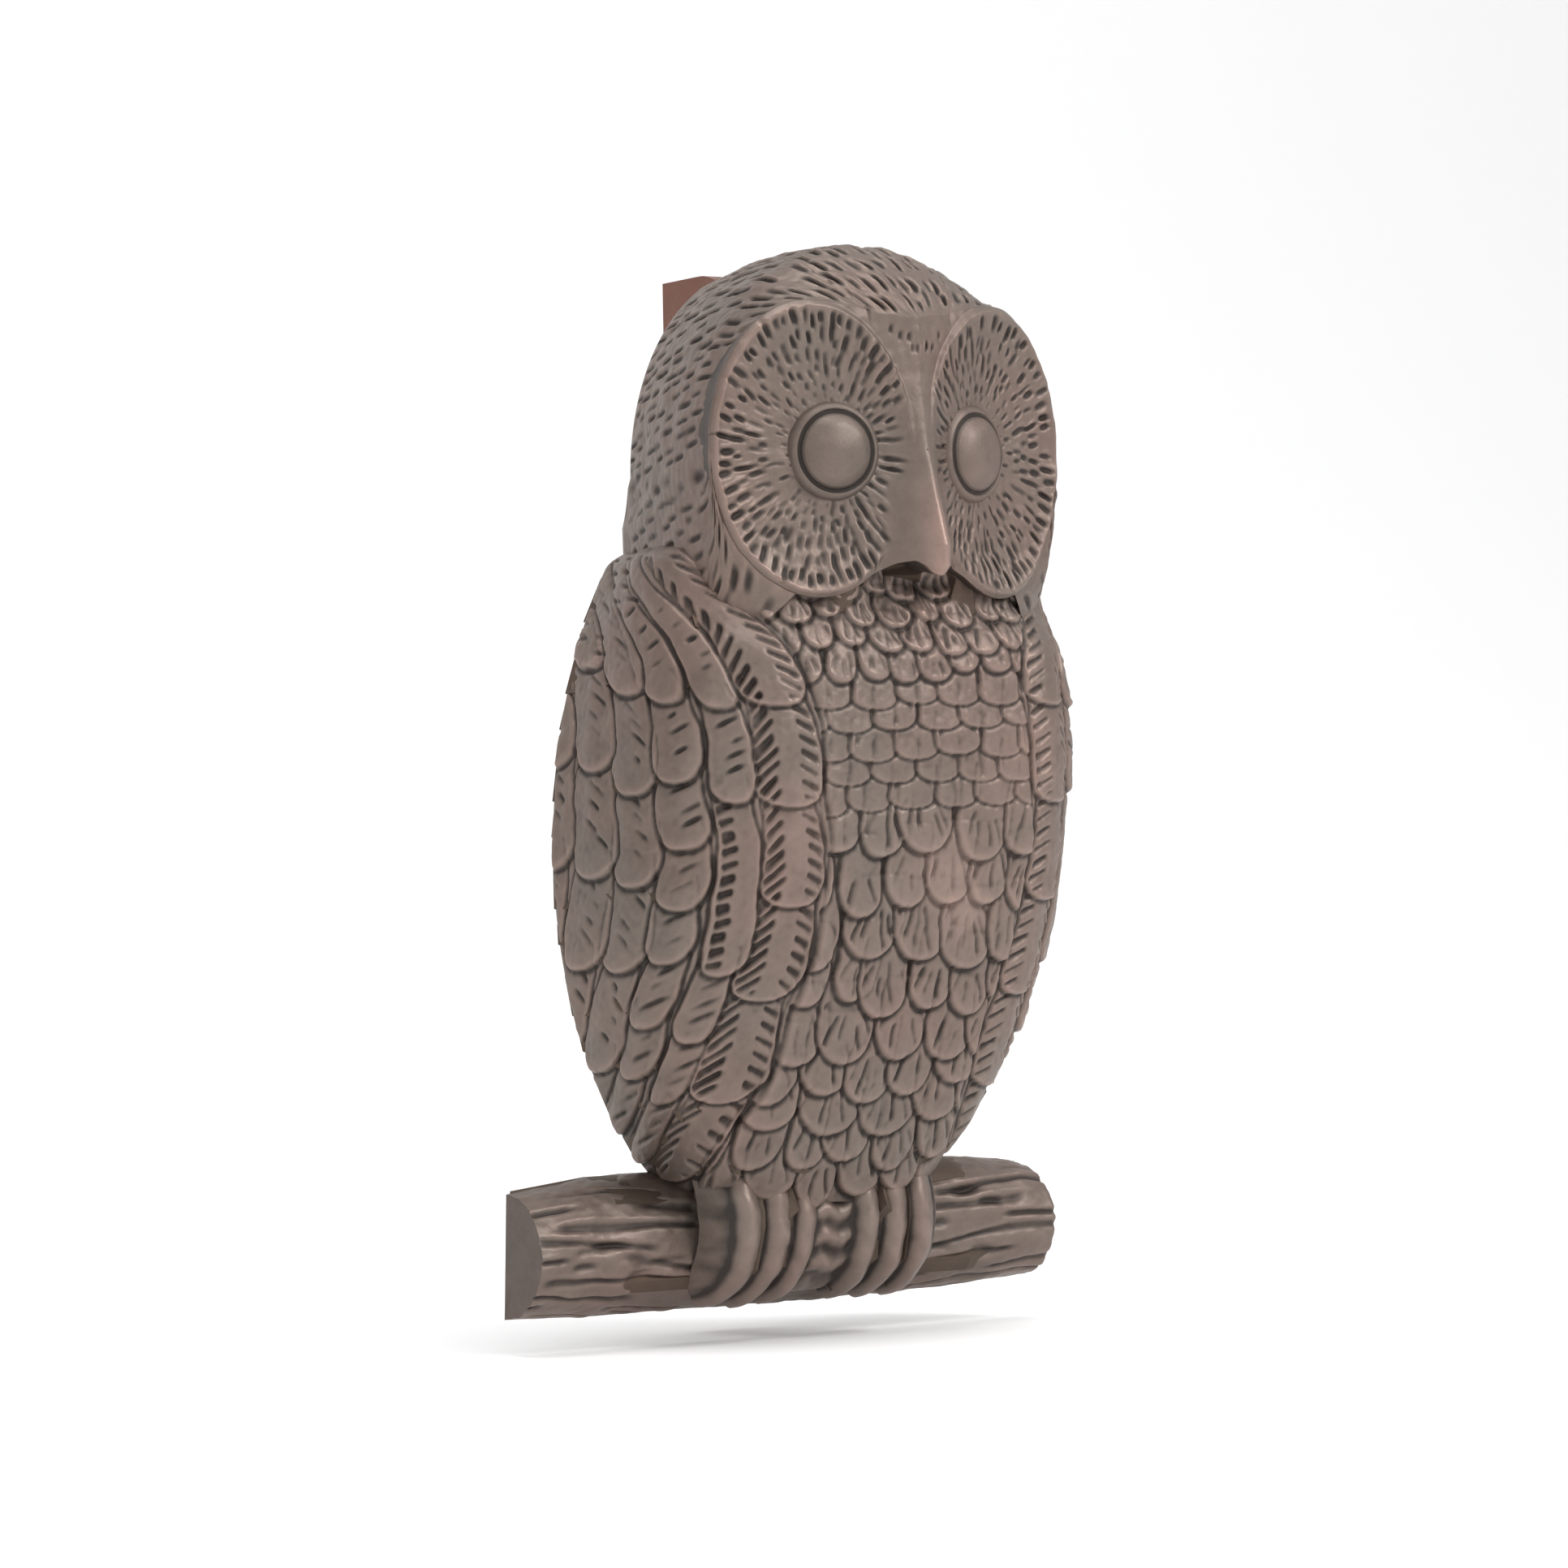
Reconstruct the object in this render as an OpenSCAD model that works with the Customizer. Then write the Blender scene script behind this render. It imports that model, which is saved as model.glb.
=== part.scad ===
// Owl door knocker. A hollow-backed bronze owl on a branch hangs from a hinge
// bracket on a narrow back plate, and its striker knocks on a button below.
// Own frame: X to the viewer's right, +Z up, the owl faces -Y, the door is the
// plane y = 0, and the origin is midway between the two screw holes.
// Millimetres throughout.

/* [Owl] */
// height of the casting, from the underside of the branch to the crown
owl_h = 190; // [150:1:240]
// width of the body over the folded wings
body_w = 93; // [74:0.5:120]
// depth of the breast, forward of the casting's back edge
body_d = 49; // [37:1:62]
// length of the branch, end to end
branch_l = 117; // [94:1:152]
// wall thickness of the hollow casting
wall = 4; // [3:0.1:6]
// how far each feather's tip stands proud of the body
feather = 1.1; // [0.4:0.1:2]
// height of the branch
branch_h = 25; // [18:0.5:32]
// diameter of each eye
eye_d = 13.6; // [9:0.2:18]

/* [Back plate] */
// distance from the door to the casting's back edge
stand_off = 16.5; // [13.5:0.5:26]
// width of the back plate and of the hinge bracket on it
plate_w = 17.5; // [14:0.5:25]
// thickness of the back plate
plate_t = 4; // [3:0.25:6]
// distance between the two door screws
screw_span = 116; // [80:1:150]
// diameter of each door screw hole
screw_hole_d = 5.2; // [4:0.1:6.5]
// diameter of each countersink at the plate's front
countersink_d = 10; // [8:0.1:12]

/* [Hinge] */
// diameter of the hinge pin
pin_d = 5; // [4:0.1:6]
// running clearance between the pin and its bores, on the radius
pin_gap = 0.05; // [0.02:0.01:0.1]
// how far the hinge pin lies below the crown
pin_drop = 12; // [9.5:0.5:20]
// how far the hinge pin lies behind the casting's back edge
pin_back = 4.5; // [3:0.25:7]
// radius of the bracket's two ears around the pin
ear_r = 9.5; // [7.5:0.25:11]
// width of the lug between the ears
lug_w = 8; // [6:0.5:10]
// radius of the lug's knuckle
lug_r = 6.5; // [5.5:0.25:8]
// wall of the bush in the lug
bush_t = 1.2; // [0.8:0.1:2]
// thickness of each thrust washer
washer_t = 0.8; // [0.5:0.1:1.2]
// side play between the lug and each washer
side_play = 0.1; // [0.05:0.05:0.3]
// diameter of the two screws that hold the lug
lug_screw_d = 4; // [3:0.5:5]

/* [Knock] */
// height of the knocking point above the underside of the branch
knock_h = 12; // [8:0.5:16]
// diameter of the strike button's face
button_d = 13; // [10:0.5:16]
// thread diameter of the striker
striker_d = 6; // [4:0.5:8]
// diameter of the striker's domed head
striker_head_d = 12; // [10:0.5:14]
// thickness of the striker's head
striker_head_t = 3.6; // [2.5:0.1:5]
// thickness of the striker's lock nut
lock_nut_t = 3; // [2:0.25:4]

/* [Hidden] */
eps = 0.02;
kx = body_w / 91;
kd = body_d / 49;
kh = owl_h / 190;
pin_h = owl_h - pin_drop;
hole_lo = 34 * kh;
base_z = -(hole_lo + screw_span / 2);
ear_in = lug_w / 2 + side_play + washer_t;
ear_out = plate_w / 2;
pin_r = pin_d / 2;
bush_r = pin_r + pin_gap + bush_t;
boss_d = 9;
boss_lo = pin_h - 33;
boss_hi = pin_h - 12;
boss_w = 15;
groove_r = pin_r - 0.45;
clip_t = 0.8;
clip_x = ear_out + 0.1;
pin_head_t = 2;
striker_depth = 8.5;
button_t = stand_off - plate_t - striker_head_t - lock_nut_t - 0.05;
rows = 10;
ring = 72;
disc_x = 19.6;
disc_h = 153.2;
disc_a = 18.2;
disc_b = 26.2;
disc_tilt = 15;
branch_r = branch_h / 2;

// Everything below is drawn as x across, depth forward of the casting's back
// edge and height above the branch's underside, then put into the part's frame.
module place() {
    translate([0, -stand_off, base_z]) mirror([0, 1, 0]) children();
}

// Lays a solid of revolution or an extrusion along X, its own X and Y becoming
// depth and height.
module across() {
    rotate([90, 0, 90]) children();
}

function pw(v, p) = pow(abs(v), p) * (v < 0 ? -1 : 1);
function lerp(a, b, t) = a + (b - a) * min(1, max(0, t));
function ease(t) = let (u = min(1, max(0, t))) u * u * (3 - 2 * u);

// half-width and depth of the body at a height
function half_w(h) = 45.2 * sqrt(max(0.01, 1 - pow((h - 82) / (h < 82 ? 70 : 76), 2)));
function depth(h) = let (t = (h - 28) / 75)
    t < 1 ? 24.5 + 23.6 * t * (1.62 - 0.62 * t) : 48.1 - 3 * ease(t - 1);
function flare(h) = 4.5 * ease((h - 88) / 40);

// a point of the body's skin: a in degrees from the left edge round the front
// to the right edge
function skin(a, h, out, n = 4) = let (
        w = half_w(h) + out, d = depth(h) + out, s = pow(abs(sin(a)), 2 / n),
        c = pw(-cos(a), 2 / n))
    [(c * (w + flare(h) * s)) * kx, s * d * kd, h * kh];

// one scalloped row of feathers: f goes from the row's tip to the next row's tip
function tip_h(row, a, amp) = let (
        n = 12, ph = row % 2 == 0 ? 0 : 0.5,
        u = a / 180 * n + ph, v = u - floor(u) - 0.5)
    25 + row * 9.6 + amp * pow(abs(2 * v), 2.2);

// closes a stack of open rings, each running from the left edge to the right,
// with a flat back; the two caps meet at the points c0 and c1
module stack(pts, m, w, c0, c1) {
    polyhedron(points = concat(pts, [c0, c1]), faces = concat(
        [for (j = [0:m - 2]) for (i = [0:w - 2])
            [j * w + i, j * w + i + 1, (j + 1) * w + i + 1]],
        [for (j = [0:m - 2]) for (i = [0:w - 2])
            [j * w + i, (j + 1) * w + i + 1, (j + 1) * w + i]],
        [for (j = [0:m - 2]) [j * w, (j + 1) * w, (j + 1) * w + w - 1]],
        [for (j = [0:m - 2]) [j * w, (j + 1) * w + w - 1, j * w + w - 1]],
        [for (i = [0:w - 2]) [m * w, i + 1, i]],
        [for (i = [0:w - 2]) [m * w + 1, (m - 1) * w + i, (m - 1) * w + i + 1]],
        [[m * w, 0, w - 1], [m * w + 1, m * w - 1, (m - 1) * w]]), convexity = 8);
}

module body_skin() {
    subs = [[0, 1], [0.55, 0.72], [1, 0.1]];
    ks = [for (r = [0:rows]) for (s = subs) [r, s[0], s[1]]];
    pts = [for (k = ks) for (i = [0:ring]) let (
                a = 180 * i / ring,
                lo = tip_h(k[0], a, 3.2), hi = tip_h(k[0] + 1, a, 3.2),
                top = k[0] == rows, h = top ? lerp(lo, 138, k[1]) : lerp(lo, hi - 0.25, k[1]))
            skin(a, h, top && k[1] == 1 ? -10 : feather * k[2] - 0.5)];
    stack(pts, len(ks), ring + 1, [0, 8 * kd, 27 * kh], [0, 8 * kd, 137 * kh]);
}

// the hollow behind the breast, drawn back under the chin so that the facial
// discs keep their wall
module body_hollow() {
    n = 9;
    hs = [for (j = [0:n]) lerp(28 + wall, 126, j / n)];
    pts = [for (h = hs) for (i = [0:24]) let (p = skin(7.5 * i, h, -wall - 0.4, 3.4))
            [p[0], p[1] * lerp(1, 0.74, ease((h - 106) / 18)) - 2, p[2]]];
    stack(pts, n + 1, 25, [0, 2, hs[0] * kh], [0, 2, hs[n] * kh]);
}

// the head: outlines lofted forward from its back edge to the facial discs
function head_w(d) = d < 40 ? 27.6 + 9.4 * sin(90 * d / 41) : 37 - 29 * pow((d - 40) / 9, 1.3);
function head_top(d) = 187.4 + 2.6 * sin(180 * min(1, d / 50)) - 13 * pow(max(0, d - 34) / 15, 2);
function head_pt(f, d, out, m) = let (
        up = sin(f) > 0, w = head_w(d) + out, q = up ? m : d > 40 ? 2.4 : 4,
        t = up ? head_top(d) - 150 + out : out < 0 ? 33 : d > 36 ? 24 : 36)
    [pw(cos(f), 2 / q) * w * kx, d * kd, (150 + pw(sin(f), 2 / q) * t) * kh];

module head_loft(ds, out, seg) {
    pts = [for (d = ds) for (i = [0:seg - 1])
            head_pt(360 * i / seg, d, out, 2 + 0.1 * min(1, d / 40))];
    m = len(ds);
    polyhedron(points = pts, faces = concat(
        [for (j = [0:m - 2]) for (i = [0:seg - 1]) let (n = (i + 1) % seg)
            [j * seg + i, (j + 1) * seg + n, (j + 1) * seg + i]],
        [for (j = [0:m - 2]) for (i = [0:seg - 1]) let (n = (i + 1) % seg)
            [j * seg + i, j * seg + n, (j + 1) * seg + n]],
        [[for (i = [0:seg - 1]) seg - 1 - i]],
        [[for (i = [0:seg - 1]) (m - 1) * seg + i]]), convexity = 4);
}

// one facial disc, turned a little outwards: a shallow dish with a raised rim,
// or with cut set the space in front of the dish
module disc(side, cut = false) {
    dish = [[25.2, 0.9], [23.6, -0.4], [12, -2.2], [0, -2.8]];
    translate([side * disc_x * kx, 44.4 * kd, disc_h * kh])
        rotate([0, 0, -side * disc_tilt])
            scale([disc_a / disc_b * kx, 1, kh])
                rotate([-90, 0, 0]) rotate_extrude($fn = 48)
                    polygon(concat(cut ? [[0, 20], [25.2, 20]]
                        : [[0, -9], [20, -9], [26.6, -4], [26.4, 0.6]], dish));
}

module eye(side) {
    translate([side * 16 * kx, 41.4 * kd, 152 * kh])
        rotate([0, 0, -side * disc_tilt]) scale([1, 0.72, 1])
            sphere(d = eye_d, $fn = 20);
}

module ball(x, d, h, r, n = 12) {
    translate([x * kx, d * kd, h * kh]) sphere(r = r, $fn = n);
}

// the ridge between the discs, running down into the beak
module beak() {
    hull() { ball(0, 43, 177, 3.2); ball(0, 46.5, 160, 3); }
    hull() { ball(0, 46.5, 160, 3); ball(0, 50.3, 147, 3.2); }
    hull() { ball(0, 50.3, 147, 3.2); ball(0, 53.6, 138, 2.8); ball(0, 46, 138, 4.5); }
    hull() { ball(0, 53.6, 138, 2.8); ball(0, 55.6, 132, 1.6); ball(0, 47, 134, 3); }
}

// a foot: three toes that come from under the feathers and wrap down the branch
module foot(side) {
    for (k = [-1:1]) {
        x = side * 12 + k * 6.2;
        f = 1.5 * abs(k);
        hull() { ball(x, 16, 27, 3.2, 8); ball(x, 20 - f, 17, 3.7, 8); }
        hull() { ball(x, 20 - f, 17, 3.7, 8); ball(x, 18 - f, 9, 3.3, 8); ball(x, 11.5, 4.4, 2.2, 8); }
    }
    translate([side * 12 * kx, 8 * kd, 14 * kh])
        cube([16 * kx, 15 * kd, 14 * kh], center = true);
}

// half-round branch, flat at the back, a little thinner towards both ends and
// thinnest at the right. Each station is the place along half the length, the
// radius and the rise of the centre, the last two as shares of half the height.
module branch() {
    stations = [[-1, 0.91, -0.05], [-0.7, 1, 0], [0.66, 0.97, 0.02], [1, 0.85, 0]];
    intersection() {
        hull() for (p = stations)
            translate([p[0] * (branch_l / 2 - 0.5) - 0.5, 0, branch_r * (1 + p[2])])
                scale([1, 0.93, 1]) rotate([0, 90, 0]) rotate([0, 0, 90])
                    cylinder(h = 1, r = branch_r * p[1], $fn = 72);
        translate([-branch_l, 0, -1]) cube([2 * branch_l, 2 * branch_r, 3 * branch_r]);
    }
}

module striker_hole() {
    translate([0, -1, knock_h]) rotate([-90, 0, 0])
        cylinder(h = striker_depth + 1, d = striker_d + 0.1, $fn = 48);
}

module lug_screw_at() {
    for (h = [boss_lo + 4.6, boss_hi - 4.6]) translate([0, 0, h]) children();
}

module owl_casting() {
    color([0.36, 0.3, 0.27]) place() difference() {
        union() {
            difference() {
                union() {
                    body_skin();
                    difference() {
                        head_loft([0, 5, 12, 20, 28, 35, 40, 43, 46, 48.4], 0, 52);
                        for (s = [-1, 1]) disc(s, true);
                    }
                    for (s = [-1, 1]) { disc(s); eye(s); }
                    beak();
                }
                body_hollow();
                head_loft([-1, 6, 14, 24, 31, 39 - wall], -wall - 0.3, 32);
                translate([-ear_out - 1.6, -1, pin_h])
                    cube([2 * ear_out + 3.2, ear_r - pin_back + 2, owl_h]);
            }
            branch();
            for (s = [-1, 1]) foot(s);
            translate([-boss_w / 2, boss_d, boss_lo])
                cube([boss_w, 44 * kd - boss_d, boss_hi - boss_lo]);
        }
        striker_hole();
        lug_screw_at() translate([0, boss_d - 1, 0]) rotate([-90, 0, 0])
            cylinder(h = 13, d = lug_screw_d + 0.1, $fn = 40);
    }
}

module ear_profile() {
    dx = stand_off - pin_back;
    function foot_at(y, s) = let (
            l = sqrt(dx * dx + y * y), t = atan2(y, -dx) - s * acos(ear_r / l))
        [[-stand_off + 0.01, pin_h + y], [-pin_back + ear_r * cos(t), pin_h + ear_r * sin(t)]];
    a = foot_at(ear_r - 0.5, 1);
    b = foot_at(-ear_r - 14, -1);
    union() {
        polygon([a[0], a[1], [-pin_back, pin_h], b[1], b[0]]);
        translate([-pin_back, pin_h]) circle(r = ear_r, $fn = 96);
    }
}

module back_plate() {
    color([0.33, 0.24, 0.21]) place() difference() {
        union() {
            translate([-plate_w / 2, -stand_off, knock_h])
                cube([plate_w, plate_t, pin_h + ear_r - 0.5 - knock_h]);
            translate([0, -stand_off, knock_h]) rotate([-90, 0, 0])
                cylinder(h = plate_t, d = plate_w, $fn = 96);
            for (x = [-ear_out, ear_in]) translate([x, 0, 0])
                across() linear_extrude(ear_out - ear_in) ear_profile();
        }
        translate([-ear_out - 1, -pin_back, pin_h]) rotate([0, 90, 0])
            cylinder(h = 2 * ear_out + 2, r = pin_r + pin_gap, $fn = 96);
        for (h = [hole_lo, hole_lo + screw_span]) translate([0, -stand_off, h])
            rotate([-90, 0, 0]) {
                translate([0, 0, -1]) cylinder(h = plate_t + 2, d = screw_hole_d, $fn = 64);
                translate([0, 0, plate_t - (countersink_d - screw_hole_d) / 2])
                    cylinder(h = (countersink_d - screw_hole_d) / 2 + 0.01,
                        d1 = screw_hole_d, d2 = countersink_d + 0.02, $fn = 64);
            }
        translate([0, -stand_off - 1, knock_h]) rotate([-90, 0, 0])
            cylinder(h = plate_t + 2, r = 3, $fn = 64);
    }
}

module strike_button() {
    color([0.52, 0.42, 0.33]) place() translate([0, -stand_off, knock_h])
        rotate([-90, 0, 0]) rotate_extrude($fn = 72)
            polygon([[0, 0], [3, 0], [3, plate_t], [button_d / 2 + 0.5, plate_t],
                [button_d / 2, plate_t + button_t - 0.8],
                [button_d / 2 - 0.8, plate_t + button_t], [0, plate_t + button_t]]);
}

module hinge_pin() {
    color([0.6, 0.58, 0.54]) place() translate([0, -pin_back, pin_h]) rotate([0, 90, 0])
        translate([0, 0, -ear_out - pin_head_t]) rotate_extrude($fn = 72)
            polygon([[0, 0], [3.1, 0], [4.1, 0.7], [4.1, pin_head_t], [pin_r, pin_head_t],
                [pin_r, pin_head_t + ear_out + clip_x],
                [groove_r, pin_head_t + ear_out + clip_x],
                [groove_r, pin_head_t + ear_out + clip_x + clip_t],
                [pin_r, pin_head_t + ear_out + clip_x + clip_t],
                [pin_r, pin_head_t + ear_out + clip_x + clip_t + 0.9],
                [pin_r - 0.5, pin_head_t + ear_out + clip_x + clip_t + 1.4],
                [0, pin_head_t + ear_out + clip_x + clip_t + 1.4]]);
}

module thrust_washers() {
    color([0.7, 0.55, 0.3]) place()
        for (x = [-ear_in, ear_in - washer_t]) translate([x, -pin_back, pin_h])
            rotate([0, 90, 0]) difference() {
                cylinder(h = washer_t, r = pin_r + 2.4, $fn = 72);
                translate([0, 0, -1]) cylinder(h = washer_t + 2, r = pin_r + 0.1, $fn = 72);
            }
}

// open retaining clip, sprung into the pin's groove
module pin_clip() {
    color([0.25, 0.25, 0.26]) place() translate([clip_x, -pin_back, pin_h])
        rotate([0, 90, 0]) difference() {
            cylinder(h = clip_t, r = pin_r + 1.9, $fn = 72);
            translate([0, 0, -1]) cylinder(h = clip_t + 2, r = groove_r, $fn = 72);
            translate([-1.2, 0, -1]) cube([2.4, 10, clip_t + 2]);
        }
}

module hinge_lug() {
    color([0.62, 0.47, 0.26]) place() difference() {
        union() {
            translate([-lug_w / 2, 0, 0]) across() linear_extrude(lug_w) {
                translate([-pin_back, pin_h]) circle(r = lug_r, $fn = 96);
                polygon([[-pin_back, pin_h + lug_r * 0.6], [-pin_back + lug_r * 0.8, pin_h + lug_r * 0.6],
                    [boss_d, boss_hi - 1], [boss_d, boss_lo], [boss_d - 4, boss_lo],
                    [boss_d - 4, boss_hi], [-pin_back - lug_r * 0.7, pin_h - lug_r * 0.7]]);
            }
            translate([-boss_w / 2, boss_d - 4, boss_lo])
                cube([boss_w, 4, boss_hi - boss_lo]);
        }
        translate([-lug_w, -pin_back, pin_h]) rotate([0, 90, 0])
            cylinder(h = 2 * lug_w, r = bush_r, $fn = 96);
        lug_screw_at() translate([0, boss_d - 6, 0]) rotate([-90, 0, 0])
            cylinder(h = 8, d = lug_screw_d + 0.3, $fn = 48);
    }
}

module lug_bush() {
    color([0.78, 0.62, 0.32]) place() translate([-lug_w / 2, -pin_back, pin_h])
        rotate([0, 90, 0]) difference() {
            cylinder(h = lug_w, r = bush_r, $fn = 96);
            translate([0, 0, -1]) cylinder(h = lug_w + 2, r = pin_r + pin_gap, $fn = 96);
        }
}

// cheese-head screws through the lug's foot into the boss
module lug_screws() {
    r = lug_screw_d / 2;
    color([0.45, 0.44, 0.42]) place() lug_screw_at()
        translate([0, boss_d - 4, 0]) rotate([-90, 0, 0]) difference() {
            rotate_extrude($fn = 60)
                polygon([[0, -2.6], [r + 1.1, -2.6], [r + 1.5, -2.2], [r + 1.5, 0], [r, 0],
                    [r, 14.4], [r - 0.8, 15.2], [0, 15.2]]);
            translate([-0.6, -5, -2.61]) cube([1.2, 10, 1.2]);
        }
}

module striker() {
    r = striker_d / 2;
    R = striker_head_d / 2;
    t = lock_nut_t + striker_head_t;
    color([0.5, 0.4, 0.32]) place() translate([0, 0, knock_h]) rotate([-90, 0, 0])
        rotate_extrude($fn = 72)
            polygon([[0, -t], [R * 0.5, -t + 0.35], [R * 0.85, -t + 1.3], [R, -t + 2.4],
                [R, -lock_nut_t], [r, -lock_nut_t], [r, striker_depth - 1.2],
                [r - 1, striker_depth - 0.2], [0, striker_depth - 0.2]]);
}

module lock_nut() {
    color([0.55, 0.45, 0.3]) place() translate([0, 0, knock_h]) rotate([90, 0, 0])
        difference() {
            cylinder(h = lock_nut_t, d = striker_d * 1.92, $fn = 6);
            translate([0, 0, -1]) cylinder(h = lock_nut_t + 2, d = striker_d, $fn = 72);
        }
}

back_plate();
strike_button();
hinge_pin();
thrust_washers();
pin_clip();
owl_casting();
hinge_lug();
lug_bush();
lug_screws();
striker();
lock_nut();
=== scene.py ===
import math
import bpy
import numpy as np
from mathutils import Matrix, Vector
from mathutils.bvhtree import BVHTree


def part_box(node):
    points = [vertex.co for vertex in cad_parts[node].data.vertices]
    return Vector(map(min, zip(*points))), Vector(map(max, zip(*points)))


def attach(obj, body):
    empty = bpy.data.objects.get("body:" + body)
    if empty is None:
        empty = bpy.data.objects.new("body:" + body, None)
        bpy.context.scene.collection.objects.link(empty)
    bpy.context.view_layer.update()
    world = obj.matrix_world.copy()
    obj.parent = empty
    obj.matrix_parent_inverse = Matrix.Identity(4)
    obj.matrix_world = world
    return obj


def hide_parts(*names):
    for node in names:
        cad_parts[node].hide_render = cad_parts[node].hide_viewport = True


# An owl door knocker: a bronze relief casting on a hinge bracket. The carved skins are
# worked out here, in the owl's own millimetres: x across, d forward of the casting's back
# edge and h above the branch's underside. to_world() puts them in the shared frame. The
# hollow back is the CAD casting with its outer face drawn in under the skins.
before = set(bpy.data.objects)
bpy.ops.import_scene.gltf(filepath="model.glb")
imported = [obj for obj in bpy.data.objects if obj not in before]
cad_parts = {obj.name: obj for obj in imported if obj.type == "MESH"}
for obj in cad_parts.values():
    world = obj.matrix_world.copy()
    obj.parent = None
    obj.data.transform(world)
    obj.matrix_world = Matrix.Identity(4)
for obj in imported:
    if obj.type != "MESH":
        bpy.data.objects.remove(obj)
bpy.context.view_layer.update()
LOW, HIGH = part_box("owl_casting")
MM = 0.001
KX = 1.022                       # sideways stretch of the sculpted outlines
rng = np.random.default_rng(7)


# ---------------------------------------------------------------- helpers
def to_world(p):
    """Owl millimetres (across, depth forward, height) to the shared frame."""
    return np.stack([p[..., 0] * MM, HIGH.y - p[..., 1] * MM, LOW.z + p[..., 2] * MM], -1)


def ease(t):
    """Smooth step from 0 to 1."""
    t = np.clip(t, 0, 1)
    return t * t * (3 - 2 * t)


def spow(v, p):
    """A power that keeps its sign."""
    return np.sign(v) * np.abs(v) ** p


def blur(a, sy, sx):
    """Gaussian blur, sigmas in samples, edges mirrored."""
    ny, nx = a.shape
    py, px = min(ny - 1, int(4 * sy) + 1), min(nx - 1, int(4 * sx) + 1)
    b = np.pad(a, ((py, py), (px, px)), mode="reflect")
    fy, fx = np.fft.fftfreq(b.shape[0])[:, None], np.fft.rfftfreq(b.shape[1])[None]
    k = np.exp(-2 * math.pi ** 2 * ((fy * sy) ** 2 + (fx * sx) ** 2))
    return np.fft.irfft2(np.fft.rfft2(b) * k, s=b.shape)[py:py + ny, px:px + nx]


def lumps(u, v, size, seed, n=14):
    """Smooth seeded unevenness about +-1, features about size across."""
    r = np.random.default_rng(seed)
    out = np.zeros(np.broadcast(u, v).shape)
    for _ in range(n):
        a, k = r.uniform(0, 2 * math.pi), r.uniform(0.6, 1.5) * 2 * math.pi / size
        out = out + np.sin(k * (math.cos(a) * u + math.sin(a) * v) + r.uniform(0, 6.3))
    return out / math.sqrt(n) * 0.8


def normals(p, wrap=False):
    """Unit normals of a grid of points; wrap joins its last column to its first."""
    if wrap:
        q = np.concatenate([p[:, -2:], p, p[:, :2]], 1)
        du, dv = np.gradient(q, axis=1)[:, 2:-2], np.gradient(p, axis=0)
    else:
        du, dv = np.gradient(p, axis=1), np.gradient(p, axis=0)
    n = np.cross(du, dv)
    return n / np.maximum(np.linalg.norm(n, axis=-1, keepdims=True), 1e-9)


def mesh_piece(name, verts, faces, attrs, vnormals=None):
    """A smooth-shaded object from arrays, with its point attributes."""
    me = bpy.data.meshes.new(name)
    me.vertices.add(len(verts))
    me.vertices.foreach_set("co", np.ascontiguousarray(verts, dtype=np.float32).ravel())
    me.loops.add(faces.size)
    me.loops.foreach_set("vertex_index", np.ascontiguousarray(faces, dtype=np.int32).ravel())
    me.polygons.add(len(faces))
    me.polygons.foreach_set("loop_start", np.arange(0, faces.size, faces.shape[1], dtype=np.int32))
    me.polygons.foreach_set("use_smooth", np.ones(len(faces), dtype=bool))
    me.update(calc_edges=True)
    for key, val in attrs.items():
        at = me.attributes.new(key, "FLOAT", "POINT")
        at.data.foreach_set("value", np.ascontiguousarray(val, dtype=np.float32).ravel())
    if vnormals is not None:
        me.normals_split_custom_set_from_vertices(vnormals.tolist())
    ob = bpy.data.objects.new(name, me)
    bpy.context.scene.collection.objects.link(ob)
    return ob


def grid_faces(ny, nx, wrap):
    """Quads of a grid of ny by nx points."""
    idx = np.arange(ny * nx).reshape(ny, nx)
    if wrap:
        idx = np.concatenate([idx, idx[:, :1]], 1)
    return np.stack([idx[:-1, :-1], idx[:-1, 1:], idx[1:, 1:], idx[1:, :-1]], -1).reshape(-1, 4)


def skin_piece(name, p, n, cav, wear_and_highlight, wrap=False, cols=None):
    """A piece from a grid of points in owl millimetres, n its outward normals. cav is how
    high each point stands, the next array how rubbed it is and where a highlight is
    painted, cols a range of columns. The world frame mirrors depth, so a grid that turns
    inside out there is flipped."""
    if cols:
        p, n, cav, wear_and_highlight = (a[:, cols[0]:cols[1]] for a in (p, n, cav, wear_and_highlight))
    cav = np.where(cav > 0, 0.5 * cav, 1.35 * cav)
    f = grid_faces(p.shape[0], p.shape[1], wrap)
    v = to_world(p).reshape(-1, 3)
    wn = (n * [1, -1, 1]).reshape(-1, 3)
    t = v[f]
    face_n = np.cross(t[:, 1] - t[:, 0], t[:, 2] - t[:, 0])
    if (face_n * wn[f[:, 0]]).sum() < 0:
        f = f[:, ::-1]
    return mesh_piece(name, v, f, {"cav": cav, "wear_and_highlight": wear_and_highlight}, wn)


def cavity(h, step, fine=0.45, wide=1.5):
    """How far each point stands over (+) or under (-) its surroundings, in mm."""
    return 0.55 * (h - blur(h, wide / step, wide / step)) + 0.9 * (
        h - blur(h, fine / step, fine / step))


# ---------------------------------------------------------------- base shapes
def half_w(h):
    """Half the body's width at a height."""
    return 45.4 * np.sqrt(np.maximum(0.01, 1 - ((h - 82) / np.where(h < 82, 70, 76)) ** 2))


def depth(h):
    """How far the body stands forward at a height."""
    t = (h - 28) / 75.0
    return np.where(t < 1, 24.5 + 23.6 * t * (1.62 - 0.62 * t), 48.1 - 3 * ease(t - 1))


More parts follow.
